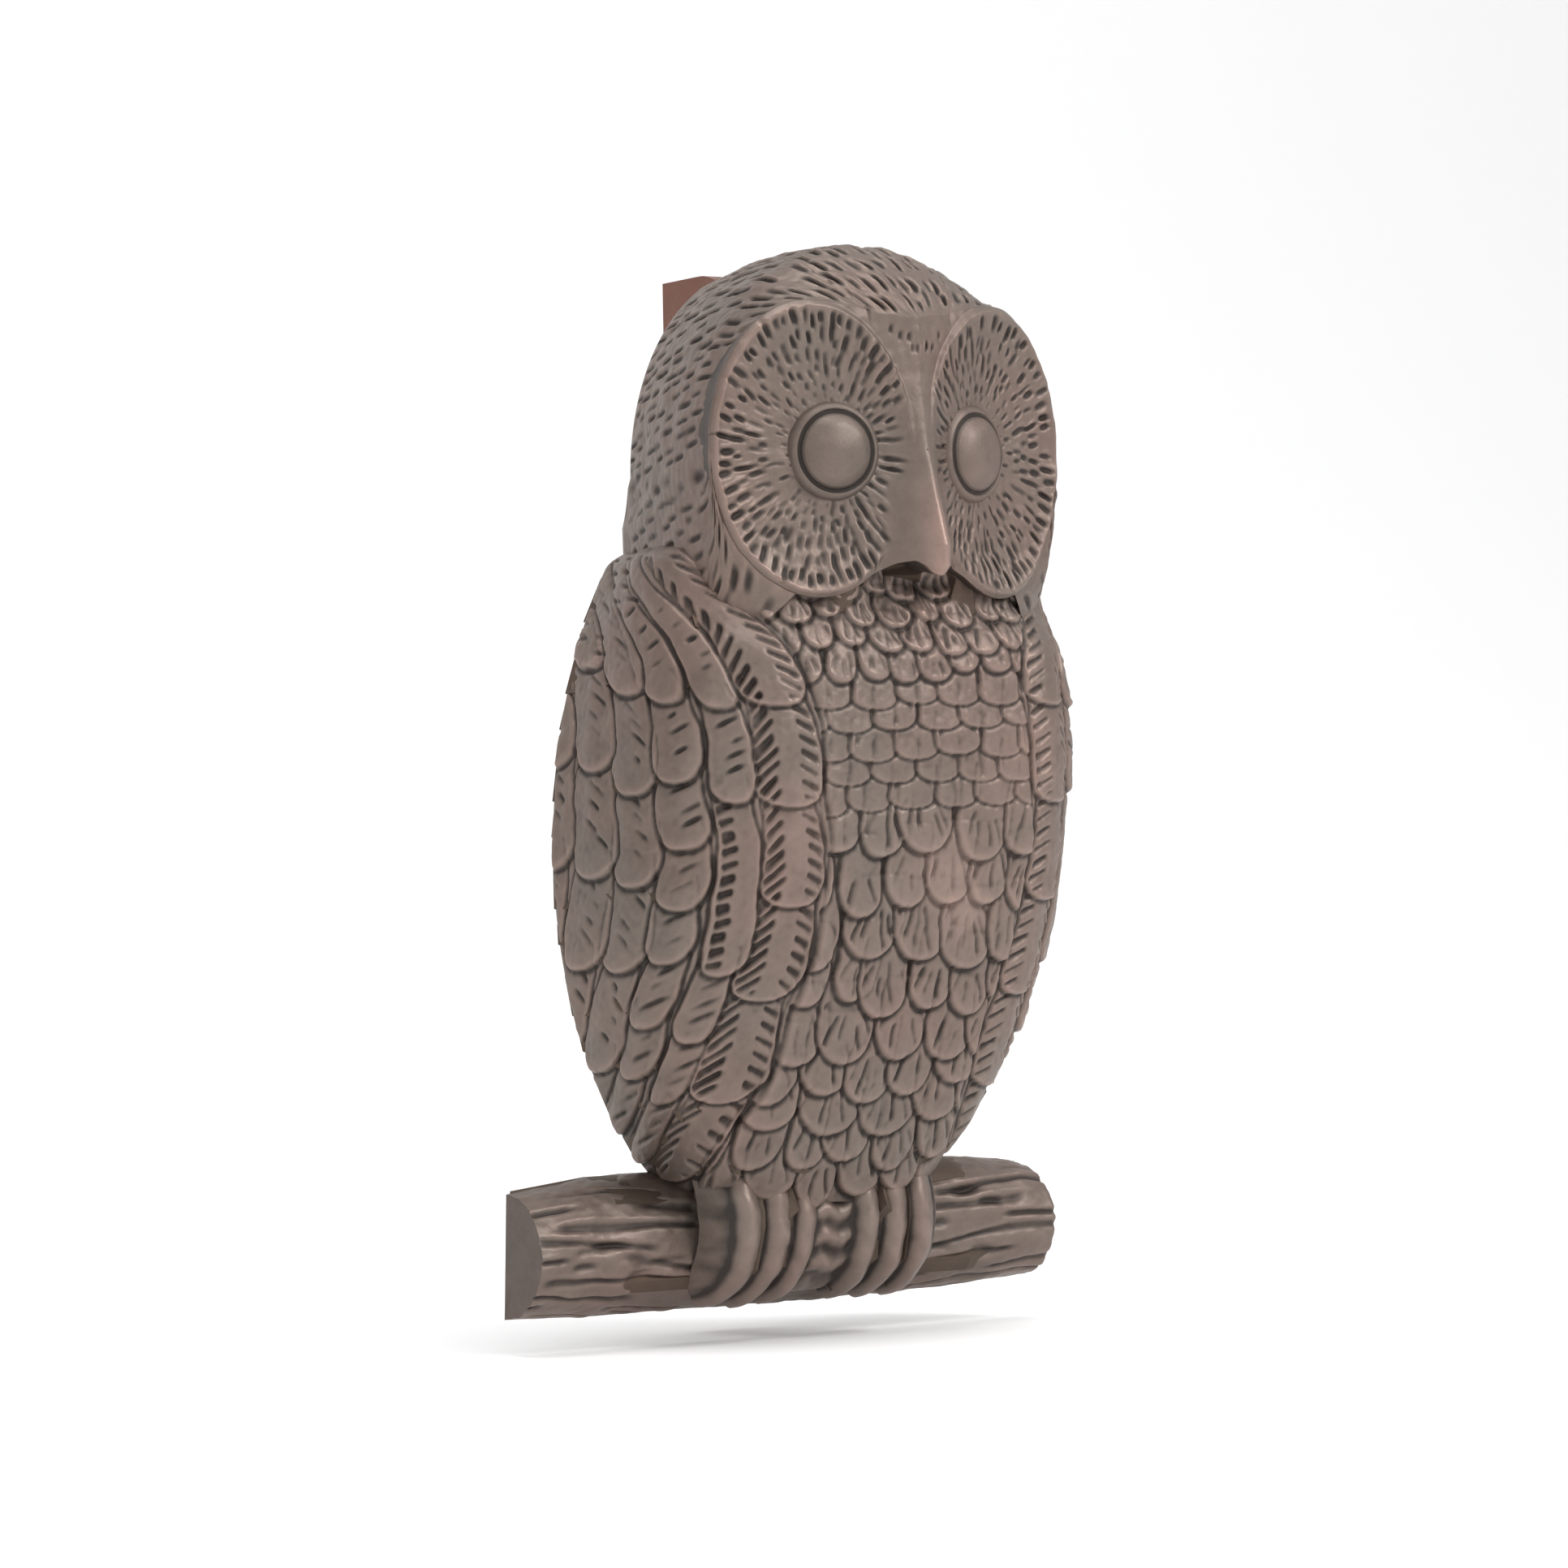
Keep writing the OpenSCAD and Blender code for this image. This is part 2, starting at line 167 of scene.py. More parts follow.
def body_grid(hs, nq):
    """Points of the body's skin, evenly spaced round each height, and their arc
    length from the front's centre line."""
    t = np.linspace(-1, 1, 1201)
    tau = np.sign(t) * math.pi / 2 * (1 - (1 - np.abs(t)) ** 2)
    c = np.sin(tau)
    s = np.maximum(0, 1 - c ** 4) ** 0.25
    q = np.linspace(-1, 1, nq)
    pts, arc = np.zeros((len(hs), nq, 3)), np.zeros((len(hs), nq))
    for j, h in enumerate(hs):
        fl = 3.5 * ease((h - 80) / 40)
        shoulder = 5.5 * ease((h - 112) / 28) * ease(s / 0.5) * ease((0.9 - s) / 0.35)
        x, d = KX * c * (half_w(h) + fl * s + shoulder), s * depth(h)
        run = np.concatenate([[0], np.cumsum(np.hypot(np.diff(x), np.diff(d)))])
        half = run[-1] / 2
        at = half + q * half
        pts[j] = np.stack([np.interp(at, run, x), np.interp(at, run, d), np.full(nq, h)], -1)
        arc[j] = q * half
    return pts, arc


def head_point(phi, dep):
    """The head's outline at a depth, phi turning from the viewer's right over the crown."""
    w = 27.6 + 9.4 * np.sin(np.minimum(dep / 41, 1) * math.pi / 2)
    top = 188.3 + 2.3 * np.sin(math.pi * np.minimum(1, dep / 50)) - 13 * (
        np.maximum(0, dep - 34) / 15) ** 2
    m = 2.0 + 0.1 * np.minimum(1, dep / 40)
    c, s = np.cos(phi), np.sin(phi)
    e = 2 / np.where(s > 0, m, 4.0)
    h = 150 + spow(s, e) * np.where(s > 0, top - 150, 36)
    out = 1.5 * np.exp(-(np.maximum(h, 141) - 142.7) / 6) * ease(1 - dep / 44) * (s < 0)
    return np.stack([KX * spow(c, e) * w + np.sign(c) * out, dep + 0 * phi, h], -1)


DISC_X, DISC_H, DISC_D, DISC_A, DISC_B = 19.6 * KX, 153.2, 44.4, 18.2 * KX, 26.2
TILT = math.radians(15)
EYE_X, EYE_H, EYE_R = 15.6, 152.8, 6.8
FACE_C = 153.0                   # height of the face's middle


def face_depth(x, h):
    """Depth of the face seen from the front: two tilted bowls, and the ridge that runs
    down between them into the beak. Also how far out in its bowl a point lies, and the
    ridge's share."""
    ax = np.abs(x)
    u, v = (ax - DISC_X) / DISC_A, (h - DISC_H) / DISC_B
    re = np.hypot(u, v)
    plane = DISC_D - u * DISC_A * math.tan(TILT) + 0.35
    bowl = -2.0 * np.maximum(0, 1 - (np.minimum(re, 1) / 0.93) ** 2.6)
    edge = -0.9 * ease((re - 0.955) / 0.06) - 1.6 * ease((re - 1) / 0.25) * (u > -0.6)
    dish = plane + bowl + edge + 1.5 * ease((137 - h) / 10)
    crest = np.interp(h, [124, 130.5, 132.5, 136, 144.3, 152.9, 161.4, 168.6, 176, 181],
                      [50, 54.4, 56.2, 56.4, 53.8, 51.2, 49.7, 48.6, 47.0, 44.6])
    slope = 0.55 + 0.75 * ease((168 - h) / 26)
    sharp = 1.0 + 2.6 * ease((h - 150) / 22)
    ridge = crest - slope * (np.sqrt(ax ** 2 + sharp ** 2) - sharp)
    k = 1.3
    g = np.clip(0.5 + (ridge - dish) / (2 * k), 0, 1)
    return dish * (1 - g) + ridge * g + k * g * (1 - g), re, g


def face_outline(n):
    """The face's edge, seen from the front, all the way round: the beak's tip, the disc's
    lower edge, its outer side, its top and the dip in the forehead."""
    half = [(0.0, 130.6), (1.2, 130.9), (2.3, 132.0), (3.8, 133.4), (6.0, 133.0)]
    half += [(DISC_X + DISC_A * math.cos(t), DISC_H + DISC_B * math.sin(t))
             for t in np.radians(np.linspace(-122, 84, 200))]
    half += [(14, 178.6), (7, 177.0), (0, 176.2)]
    half = np.array(half)
    full = np.concatenate([half, half[-2:0:-1] * [-1, 1]])
    ang = np.arctan2(full[:, 1] - FACE_C, full[:, 0])
    order = np.argsort(ang)
    ang, rad = ang[order], np.hypot(full[:, 0], full[:, 1] - FACE_C)[order]
    psi = -math.pi / 2 + np.linspace(0, 2 * math.pi, n, endpoint=False)
    r = np.interp(psi, np.concatenate([ang - 2 * math.pi, ang, ang + 2 * math.pi]), np.tile(rad, 3))
    k = np.fft.rfft(r) * np.exp(-(np.arange(n // 2 + 1) / 85.0) ** 2)
    return psi, np.fft.irfft(k, n)


PSI_N = 1080
psi_face, rad_face = face_outline(PSI_N)


def press(p, keep_back=1.4):
    """Pushes whatever would stand in front of the face back behind it."""
    x, d, h = p[..., 0], p[..., 1], p[..., 2]
    a = np.mod(np.arctan2(h - FACE_C, x) + math.pi / 2, 2 * math.pi) - math.pi / 2
    edge = np.interp(a, psi_face, rad_face, period=2 * math.pi)
    rho = np.hypot(x, h - FACE_C) / edge
    over = np.maximum(0, d - face_depth(x, h)[0] + keep_back * ease((1.0 - rho) / 0.06))
    p = p.copy()
    p[..., 1] -= np.where(rho < 1.0, over, 0)
    return p


# ---------------------------------------------------------------- carving
class Field:
    """A height field over two coordinates in mm, carved feather by feather."""

    def __init__(self, shape):
        self.h = np.zeros(shape)
        self.wear_and_highlight = np.zeros(shape)

    def feather(self, a, b, a0, b0, w, length, lean=0.0, thick=1.0, crown=0.35, rim=0.28,
                round_=0.62, narrow=0.35, power=2.2, cuts=None, mask=None, seed=0):
        """A tongue hanging from (a0, b0 + length) with its tip at (a0, b0)."""
        reach = w / 2 + 1.5 + abs(lean) * length
        sel = (np.abs(a - a0) < reach) & (b > b0 - 1.6) & (b < b0 + length)
        if mask is not None:
            sel &= mask
        ii = np.nonzero(sel)
        if not len(ii[0]):
            return
        r = np.random.default_rng(seed)
        wob = 0.12 * np.sin(b[ii] * r.uniform(0.7, 1.3) + r.uniform(0, 6))
        u = b[ii] - b0
        v = a[ii] - a0 - lean * u + wob
        ru = w * round_
        hw = w / 2 * (1 - narrow * (u / length).clip(0, 1) ** 1.8)
        k = np.clip((ru - u) / ru, 0, None)
        rho = (k ** power + np.abs(v / hw) ** power) ** (1 / power)
        e = (1 - rho) * w / 2
        inside = e > 0
        old = self.h[ii]
        crease = 0.5 * np.exp(-(np.minimum(e, 0) / 0.42) ** 2) * (e <= 0)
        body = thick * (1 - (u / length).clip(0, 1)) ** 0.8
        body = body + crown * (1 - (v / hw) ** 2).clip(0, 1)
        body = body - 1.0 * np.exp(-(np.maximum(e, 0) / 0.32) ** 1.5)
        body = body + rim * np.exp(-((e - 0.7) / 0.38) ** 2) - 0.5 * rim * np.exp(
            -((e - 1.55) / 0.45) ** 2)
        if cuts:
            body = body - cuts(u, v, e, w, length, r)
        self.h[ii] = np.where(inside, np.maximum(body, -0.2) + 0.35 * old, old - crease)
        coppery_share = 0.16 * np.exp(-((e - 0.9) / 0.6) ** 2)
        self.wear_and_highlight[ii] = np.where(inside, coppery_share, self.wear_and_highlight[ii] * 0.6)

    def stroke(self, a, b, a0, b0, a1, b1, width, deep, lip=0.25):
        """A short tapered chisel cut from one point to another."""
        dx, dy = a1 - a0, b1 - b0
        ln = math.hypot(dx, dy)
        m = ln / 2 + width * 2
        ca, cb = (a0 + a1) / 2, (b0 + b1) / 2
        ii = np.nonzero((np.abs(a - ca) < m) & (np.abs(b - cb) < m))
        if not len(ii[0]):
            return
        px, py = a[ii] - ca, b[ii] - cb
        al = (px * dx + py * dy) / ln
        ac = (px * dy - py * dx) / ln
        g = np.exp(-(np.abs(al) / (ln / 2)) ** 3.0 - (np.abs(ac) / (width / 2)) ** 2.2)
        edge = np.exp(-(np.abs(al) / (ln / 2)) ** 3.0 - ((np.abs(ac) - width * 0.72) / (
            width * 0.35)) ** 2)
        self.h[ii] += -deep * g + lip * deep * edge


def fan(n, deep):
    """A few chisel grooves that spread from a breast feather's root."""
    def cut(u, v, e, w, length, r):
        root = min(length, w * 1.25)
        ang = np.arctan2(v, np.maximum(root - u, 0.3))
        rad = np.hypot(v, root - u) / root
        out = np.zeros_like(u)
        for a0 in np.linspace(-0.78, 0.78, n) + r.uniform(-0.1, 0.1, n):
            lo, hi = r.uniform(0.25, 0.5), r.uniform(0.68, 0.92)
            band = ease((rad - lo) / 0.12) * ease((hi - rad) / 0.1 + 0.5)
            out = np.maximum(out, r.uniform(0.4, 1.1) * band * np.exp(
                -((ang - a0 - 0.1 * (rad - 0.5)) * rad * root / 0.42) ** 2))
        return deep * out * ease((e - 0.7) / 0.7) * (u < root)
    return cut


def barbs(*sides):
    """Chisel cuts down and outward from the shaft. Each side: which side, depth, pitch,
    slope, share of the pitch cut away, and where across it the cuts start and end."""
    def cut(u, v, e, w, length, r):
        out = np.zeros_like(u)
        for sgn, deep, pitch, slope, width, start, end in sides:
            s = np.maximum(sgn * v, 0)
            t = (u + slope * s) / pitch + r.uniform(0, 1)
            cell = np.floor(t)
            wild = np.mod(np.abs(np.sin(cell * 12.9898 + r.uniform(0, 9)) * 43758.5), 1)
            grow = width * (0.65 + 0.6 * wild) * (0.55 + 0.75 * (s - start) / (end - start))
            prof = np.exp(-(np.abs(t - cell - 0.5) / np.maximum(0.5 * grow, 0.05)) ** 2.4)
            out += deep * (0.7 + 0.5 * wild) * prof * ease((s - start - wild * 0.8) / 0.6) * ease(
                (end - s) / 0.5 + 0.5) * ease((u - 0.9) / 1.2) * (sgn * v > 0)
        return out * ease((e - 0.35) / 0.5)
    return cut


def dashes(pitch, deep, lo=0.35, hi=0.9, slope=-0.9, length=2.6, at=0.05):
    """A few short dashes across the upper part of a smooth feather."""
    def cut(u, v, e, w, ln, r):
        out = np.zeros_like(u)
        top = min(ln, 24)
        for b0 in np.arange(lo * top, hi * top, pitch):
            vb, ub = (at + r.uniform(-0.12, 0.12)) * w, b0 + r.uniform(-0.5, 0.5)
            L = length * r.uniform(0.6, 1.3)
            c, s = math.cos(math.atan(slope)), math.sin(math.atan(slope))
            al, ac = (v - vb) * c + (u - ub) * s, -(v - vb) * s + (u - ub) * c
            shape = np.exp(-np.abs(al / (L / 2)) ** 3 - (ac / 0.36) ** 2)
            out += deep * r.uniform(0.3, 1.1) * shape
        return out * ease((e - 0.7) / 0.5)
    return cut


# ---------------------------------------------------------------- body
STEP, NQ = 0.3, 640              # height of a row in mm, points in a row
hs = np.arange(19.0, 147.0, STEP)
body_p, arc = body_grid(hs, NQ)
hh = body_p[..., 2]


def border(heights, places):
    """A wing's edge up the body, as arc lengths from the centre line."""
    line = np.interp(hs, heights, places)
    return blur(line[None], 0, 12)[0][:, None] + 0.25 * np.sin(hs / 3.1)[:, None]


# how far out each point lies from the left and the right wing's edge
out_l = border([20, 26, 42, 55, 70, 85, 95, 108, 118, 124, 132, 142],
               [-32, -29, -22, -20.5, -17.5, -18, -20.5, -22, -26, -31, -40, -50]) - arc
out_r = arc - border([20, 30, 42, 55, 70, 85, 95, 108, 118, 124, 132, 142],
                     [28, 25, 22.5, 24, 27, 28, 27, 24, 23.5, 28, 38, 50])

# kinds of breast feather: how uneven they are, their length, lift and roundness
BREAST = {
    "big": dict(wild=1.0, length=15, thick=0.75, crown=0.75, round_=0.62),
    "ripple": dict(wild=0.3, length=8, thick=0.55, crown=0.12, round_=0.24),
    "small": dict(wild=0.7, length=8, thick=0.55, crown=0.5, round_=0.5),
}
# each row: the height of its tips, its feathers' width and their kind
BREAST_ROWS = (
    [(b, w, "big") for b, w in zip((20, 25.5, 32, 39, 46, 54, 62, 71.5, 81),
                                   (11, 11.5, 13.5, 11.5, 12, 10, 12, 10.5, 12))]
    + [(b, 10.6, "ripple") for b in (89.5, 94.2, 98.8, 103.4, 108)]
    + [(b, 7.8, "small") for b in (112.5, 117.5, 122.5, 127.5)])


def carve_breast(field):
    """Big feathers with a few spread cuts, then smooth ripples, then small fans."""
    breast = (out_l < 1.0) & (out_r < 1.0)
    for k, (b, w, kind) in enumerate(BREAST_ROWS):
        look = BREAST[kind]
        wild = look["wild"]
        for i in range(-5, 6):
            a0 = (i + 0.5 * (k % 2)) * w * 0.9 + 4 + rng.uniform(-1.3, 1.3) * wild
            bb = b + rng.uniform(-1.7, 1.7) * wild + (0.25 * i if kind == "ripple" else 0)
            ww = w * (1 + rng.uniform(-0.14, 0.2) * wild)
            many, few = int(rng.integers(4, 7)), int(rng.integers(3, 6))
            cuts = {"big": fan(many, 0.62), "ripple": None, "small": fan(few, 0.5)}[kind]
            if kind == "ripple" and rng.uniform() < 0.35:
                cuts = fan(3, 0.3)
            lean = rng.uniform(-0.12, 0.12) * wild
            field.feather(arc, hh, a0, bb, ww, look["length"], lean=lean, thick=look["thick"],
                          crown=look["crown"], rim=0.03, narrow=0.1, round_=look["round_"],
                          cuts=cuts, mask=breast, seed=int(rng.integers(1 << 30)))


# the wing feathers' chisel cuts, as barbs() takes them
FIR = ((1, 1.15, 2.45, 0.9, 0.62, 1.6, 6.4), (-1, 0.8, 2.6, 0.5, 0.4, 1.4, 5.6))
SAW = ((1, 1.1, 2.5, 0.35, 0.62, -0.2, 3.0),)
# each column: how far out from the wing's edge, its feathers' width, where their tips
# hang, and how they are cut
COLUMNS = (
    (62.5, 14.5, (116, 98, 80, 61, 43), "smooth"),
    (49, 14.0, (115, 97, 78, 62, 46, 31), "smooth"),
    (37, 13.0, (110, 93, 77, 61, 44, 30), "smooth"),
    (27.3, 11.0, (109, 94, 83.5, 73, 62.5, 52, 42, 32), "dashed"),
    (17.2, 8.8, (107, 91.5, 61, 49, 38, 27), "saw"),
    (6.7, 13.6, (108, 90, 73, 56, 39, 24), "fir"))
WING_TOP = 130                   # where the highest feathers start
LONG = 25                        # a saw-edged feather is at least this long


def wing_cuts(style, gap):
    if style == "saw" and gap < LONG:
        return dashes(2.7, 0.95, 0.3, 0.85, slope=-0.45, length=3.4, at=-0.1)
    return {"fir": barbs(*FIR), "saw": barbs(*SAW),
            "dashed": dashes(2.9, 0.9, 0.32, 0.8, slope=-0.45, length=3.8, at=-0.12),
            "smooth": dashes(3.0, 0.75, 0.3, 0.8, slope=0.8, length=3.2, at=-0.1)}[style]


def carve_wing(field, out):
    """A raised edge along a groove, and leaf feathers in columns, the lowest first."""
    wing = out > -0.3
    edge = ease((out + 0.6) / 1.6)
    field.h = np.where(out > -0.6, field.h * (1 - edge) + edge * 0.55, field.h)
    todo = []
    for dist, w, tips, style in COLUMNS:
        ends = (WING_TOP,) + tips
        todo += [(t, dist, w, ends[i] - t, style) for i, t in enumerate(tips)]
    for tip, dist, w, gap, style in sorted(todo):
        a0, b0 = dist + rng.uniform(-0.5, 0.5), tip + rng.uniform(-0.6, 0.6)
        ww, lean = w * rng.uniform(0.95, 1.06), rng.uniform(-0.02, 0.05)
        field.feather(out, hh, a0, b0, ww, gap + 5.5, lean=lean, thick=0.85, crown=0.45,
                      rim=0.07, narrow=0.3, round_=0.4 if style == "fir" else 0.62, power=2.5,
                      cuts=wing_cuts(style, gap), mask=wing, seed=int(rng.integers(1 << 30)))
    field.h -= 0.75 * np.exp(-((out + 0.1) / 0.45) ** 2) + 0.3 * np.exp(-((out - 1.1) / 0.4) ** 2)


def carve_shoulder(field, out):
    """Short chisel cuts on the shoulder, under the head."""
    for i in range(9):
        for j in range(9):
            d0 = 24 + 6.2 * i + rng.uniform(-1, 1)
            b0 = 138.5 - 2.7 * j - 0.12 * i * i + rng.uniform(-0.5, 0.5)
            if rng.uniform() < 0.25 or (i < 3 and j > 4):
                continue
            ln = rng.uniform(2.0, 3.8)
            field.stroke(out, hh, d0 - ln / 2, b0 - 0.15, d0 + ln / 2, b0 + 0.15, 0.95,
                         rng.uniform(0.45, 0.85))


# where handling has rubbed the body bright: arc, height, two spreads and how much
RUBBED = ((8, 79, 9, 7, 0.4), (14, 71, 7, 5, 0.35), (24, 98, 8, 9, 0.25),
          (-24, 88, 6, 12, 0.22))


def make_body():
    """The body's carved skin as three pieces, and its grid of points."""
    field = Field(arc.shape)
    carve_breast(field)
    for out in (out_l, out_r):
        carve_wing(field, out)
        carve_shoulder(field, out)
    # the hollow under the beak, with a small drop-shaped feather in it
    field.h -= 2.2 * np.exp(-((arc - 4.5) / 5.5) ** 2 - ((hh - 129.5) / 2.6) ** 2)
    field.h += 1.5 * np.exp(-((arc - 2.2) / 1.7) ** 2 - ((hh - 125) / 3.0) ** 2)
    for a0, b0, wa, wb, much in RUBBED:
        field.wear_and_highlight += much * np.exp(-((arc - a0) / wa) ** 2 - ((hh - b0) / wb) ** 2)

    relief = field.h + 0.16 * lumps(arc, hh, 9, 1) + 0.05 * lumps(arc, hh, 2.5, 2)
    relief = blur(relief, 0.7, 0.7) - 0.35
    fade = ease((np.abs(arc) / np.abs(arc[:, -1:]) - 0.985) / 0.015)
    relief = relief * (1 - fade)
    out_n = normals(body_p)
    out_n *= np.sign((out_n * (body_p - [0, 8, 80])).sum(-1).mean())
    cav = 0.85 * cavity(relief, STEP)
    # drawn in where it runs up into the head, and under the chin
    tuck = 4.0 * ease((hh - 133.5) / 8)
    tuck = tuck + 3.3 * ease((hh - 116) / 11) * ease((46 - np.abs(arc)) / 16)
    skin = press(body_p + out_n * (relief - tuck)[..., None])
    skin_n = normals(skin)
    skin_n *= np.sign((skin_n * out_n).sum())
    cut_l, cut_r = int(NQ * 0.34), int(NQ * 0.66)
    parts = [skin_piece(nm, skin, skin_n, cav, field.wear_and_highlight, cols=c) for nm, c in (
        ("owl_wing_left", (0, cut_l)), ("owl_breast", (cut_l - 1, cut_r)),
        ("owl_wing_right", (cut_r - 1, NQ)))]
    return parts, skin


body_parts, body_skin = make_body()


# ---------------------------------------------------------------- face
# rings of marks round an eye: place between eye and rim, length, width, depth, how many
RINGS = ((0.885, 2.5, 1.1, 0.62, 60), (0.755, 2.6, 1.0, 0.5, 52), (0.635, 2.4, 0.95, 0.42, 45),
         (0.53, 2.1, 0.85, 0.36, 38), (0.44, 1.7, 0.8, 0.3, 31), (0.365, 1.3, 0.7, 0.2, 26))
FACE_ROWS = 150                  # rows of points from the face's middle to its edge


def ring_marks(f, x, h):
    """Rings of chisel marks round each eye, longer and wider apart outwards."""
    for side in (-1, 1):
        for ring, (r0, ln, wd, dp, cnt) in enumerate(RINGS):
            for i in range(cnt):
                a0 = 2 * math.pi * (i + 0.5 * (ring % 2) + rng.uniform(-0.3, 0.3)) / cnt
                r = r0 + rng.uniform(-0.028, 0.028)
                big, fat = rng.uniform(0.65, 1.35), rng.uniform(0.75, 1.3)
                dep, skew = rng.uniform(0.45, 1.25), rng.uniform(-0.16, 0.16)
                px = (1 - r) * EYE_X + r * (DISC_X + DISC_A * math.cos(a0))
                ph = (1 - r) * EYE_H + r * (DISC_H + DISC_B * math.sin(a0))
                if px < 4.6 + 2.4 * (ph < 148) or rng.uniform() < 0.05:
                    continue
                t = math.atan2(ph - EYE_H, px - EYE_X) + skew
                cx, cy = math.cos(t) * ln * big / 2, math.sin(t) * ln * big / 2
                f.stroke(x * side, h, px - cx, ph - cy, px + cx, ph + cy, wd * fat, dp * dep, 0.3)


def make_face():
    """The two halves of the face, with a skirt turned in behind its edge, and that edge."""
    rho = np.linspace(0.004, 1.0, FACE_ROWS)
    R = rho[:, None] * rad_face[None]
    x, h = R * np.cos(psi_face), FACE_C + R * np.sin(psi_face)
    d, re, g = face_depth(x, h)
    f = Field(x.shape)
    ring_marks(f, x, h)
    for _ in range(9):            # a few nicks in the smooth forehead
        px, ph = rng.uniform(-6, 6), rng.uniform(168, 174.5)
        f.stroke(x, h, px, ph - 0.8, px + 0.2, ph + 0.8, 0.8, 0.3)
    soft = 0.16 * lumps(x, h, 9, 11) + 0.07 * lumps(x, h, 3.2, 12)
    det = f.h * (1 - 0.9 * ease((g - 0.2) / 0.5)) + soft * (1 - 0.6 * g)
    lip = np.exp(-((re - 0.955) / 0.022) ** 2) * ease((np.abs(x) - 7) / 12)
    d = d + det + 0.3 * lip
    p = np.stack([x, d, h], -1)
    skirt = []
    for k, back in ((0.994, 0.9), (0.975, 3.0), (0.93, 9.0)):
        q = p[-1].copy()
        q[:, 0] *= k
        q[:, 2] = FACE_C + (q[:, 2] - FACE_C) * k
        q[:, 1] -= back
        skirt.append(q)
    full = np.concatenate([p, np.array(skirt)])
    n = normals(full, True)
    n *= np.sign((n[:FACE_ROWS] * [0, 1, 0]).sum())
    pad = ((0, len(skirt)), (0, 0))
    cav = 0.9 * (f.h - blur(f.h, 3, 5)) + 0.35 * f.h * (f.h < 0) + 0.12 * lip
    cav = np.pad(cav, pad, mode="edge")
    cav[FACE_ROWS:] = -0.25
    # painted highlight along the beak's crest: bright low down, faint higher up
    on_crest = ease((g - 0.75) / 0.25) * np.exp(-(x / 2.6) ** 2)
    crest_painted_highlight = on_crest * (0.06 + 0.75 * ease((152 - h) / 14))
    # the discs' rims: a little wear on both, with a painted highlight added towards the left disc's
    # outer side
    wear_and_highlight = np.pad(crest_painted_highlight + lip * (0.1 + 0.3 * ease((-x - 12) / 20)), pad)
    half = PSI_N // 2
    parts = [skin_piece(nm, full[:, sel], n[:, sel], cav[:, sel], wear_and_highlight[:, sel]) for nm, sel in (
        ("owl_face_right", np.arange(0, half + 1)),
        ("owl_face_left", np.arange(half, PSI_N + 1) % PSI_N))]
    return parts, p[-1]


face_parts, face_edge = make_face()


def eye(side, name):
    """A smooth dome in a fine groove. The profile is radius over EYE_R, then height."""
    psi = np.linspace(0, 2 * math.pi, 200, endpoint=False)
    prof = [(0.01, 2.75), (0.15, 2.72), (0.3, 2.6), (0.45, 2.4), (0.6, 2.1), (0.72, 1.75),
            (0.82, 1.3), (0.9, 0.85), (0.95, 0.4), (0.985, 0.0), (1.02, -0.12), (1.05, 0.0),
            (1.08, 0.25), (1.13, 0.22), (1.2, -0.15), (1.27, -0.9), (1.3, -2.5)]
    k = np.linspace(0, len(prof) - 1, 130)
    r = np.interp(k, range(len(prof)), [a for a, _ in prof])
    z = blur(np.interp(k, range(len(prof)), [b for _, b in prof])[None], 0, 2.0)[0]
    PSI, R = np.meshgrid(psi, r)
    Z = np.broadcast_to(z[:, None], PSI.shape)
    u, v = R * EYE_R * np.cos(PSI), R * EYE_R * 1.02 * np.sin(PSI)
    Z = Z + 0.09 * lumps(u, v, 6, 21 + side)
    d0 = float(face_depth(np.array(EYE_X), np.array(EYE_H))[0])
    ca, sa = math.cos(TILT), math.sin(TILT)
    p = np.stack([side * (EYE_X + u * ca + Z * sa), d0 + 1.1 - u * sa + Z * ca, EYE_H + v], -1)
    n = normals(p, True)
    n *= np.sign((n * [0, 1, 0]).sum())
    groove = np.exp(-((R - 1.0) / 0.045) ** 2)
    return skin_piece(name, p, n, -0.02 - 0.5 * groove, 0.05 * (R < 0.9), wrap=True)


eyes = [eye(-1, "owl_eye_left"), eye(1, "owl_eye_right")]


# ---------------------------------------------------------------- head
NOTCH_X, NOTCH_D = 10.6, 7.6     # half width and depth of the crown's cut-out
HEAD_STEP = 0.27                 # between rows of the side wall
SIDE_D = 32.0                    # where the side wall ends and starts to turn to the face


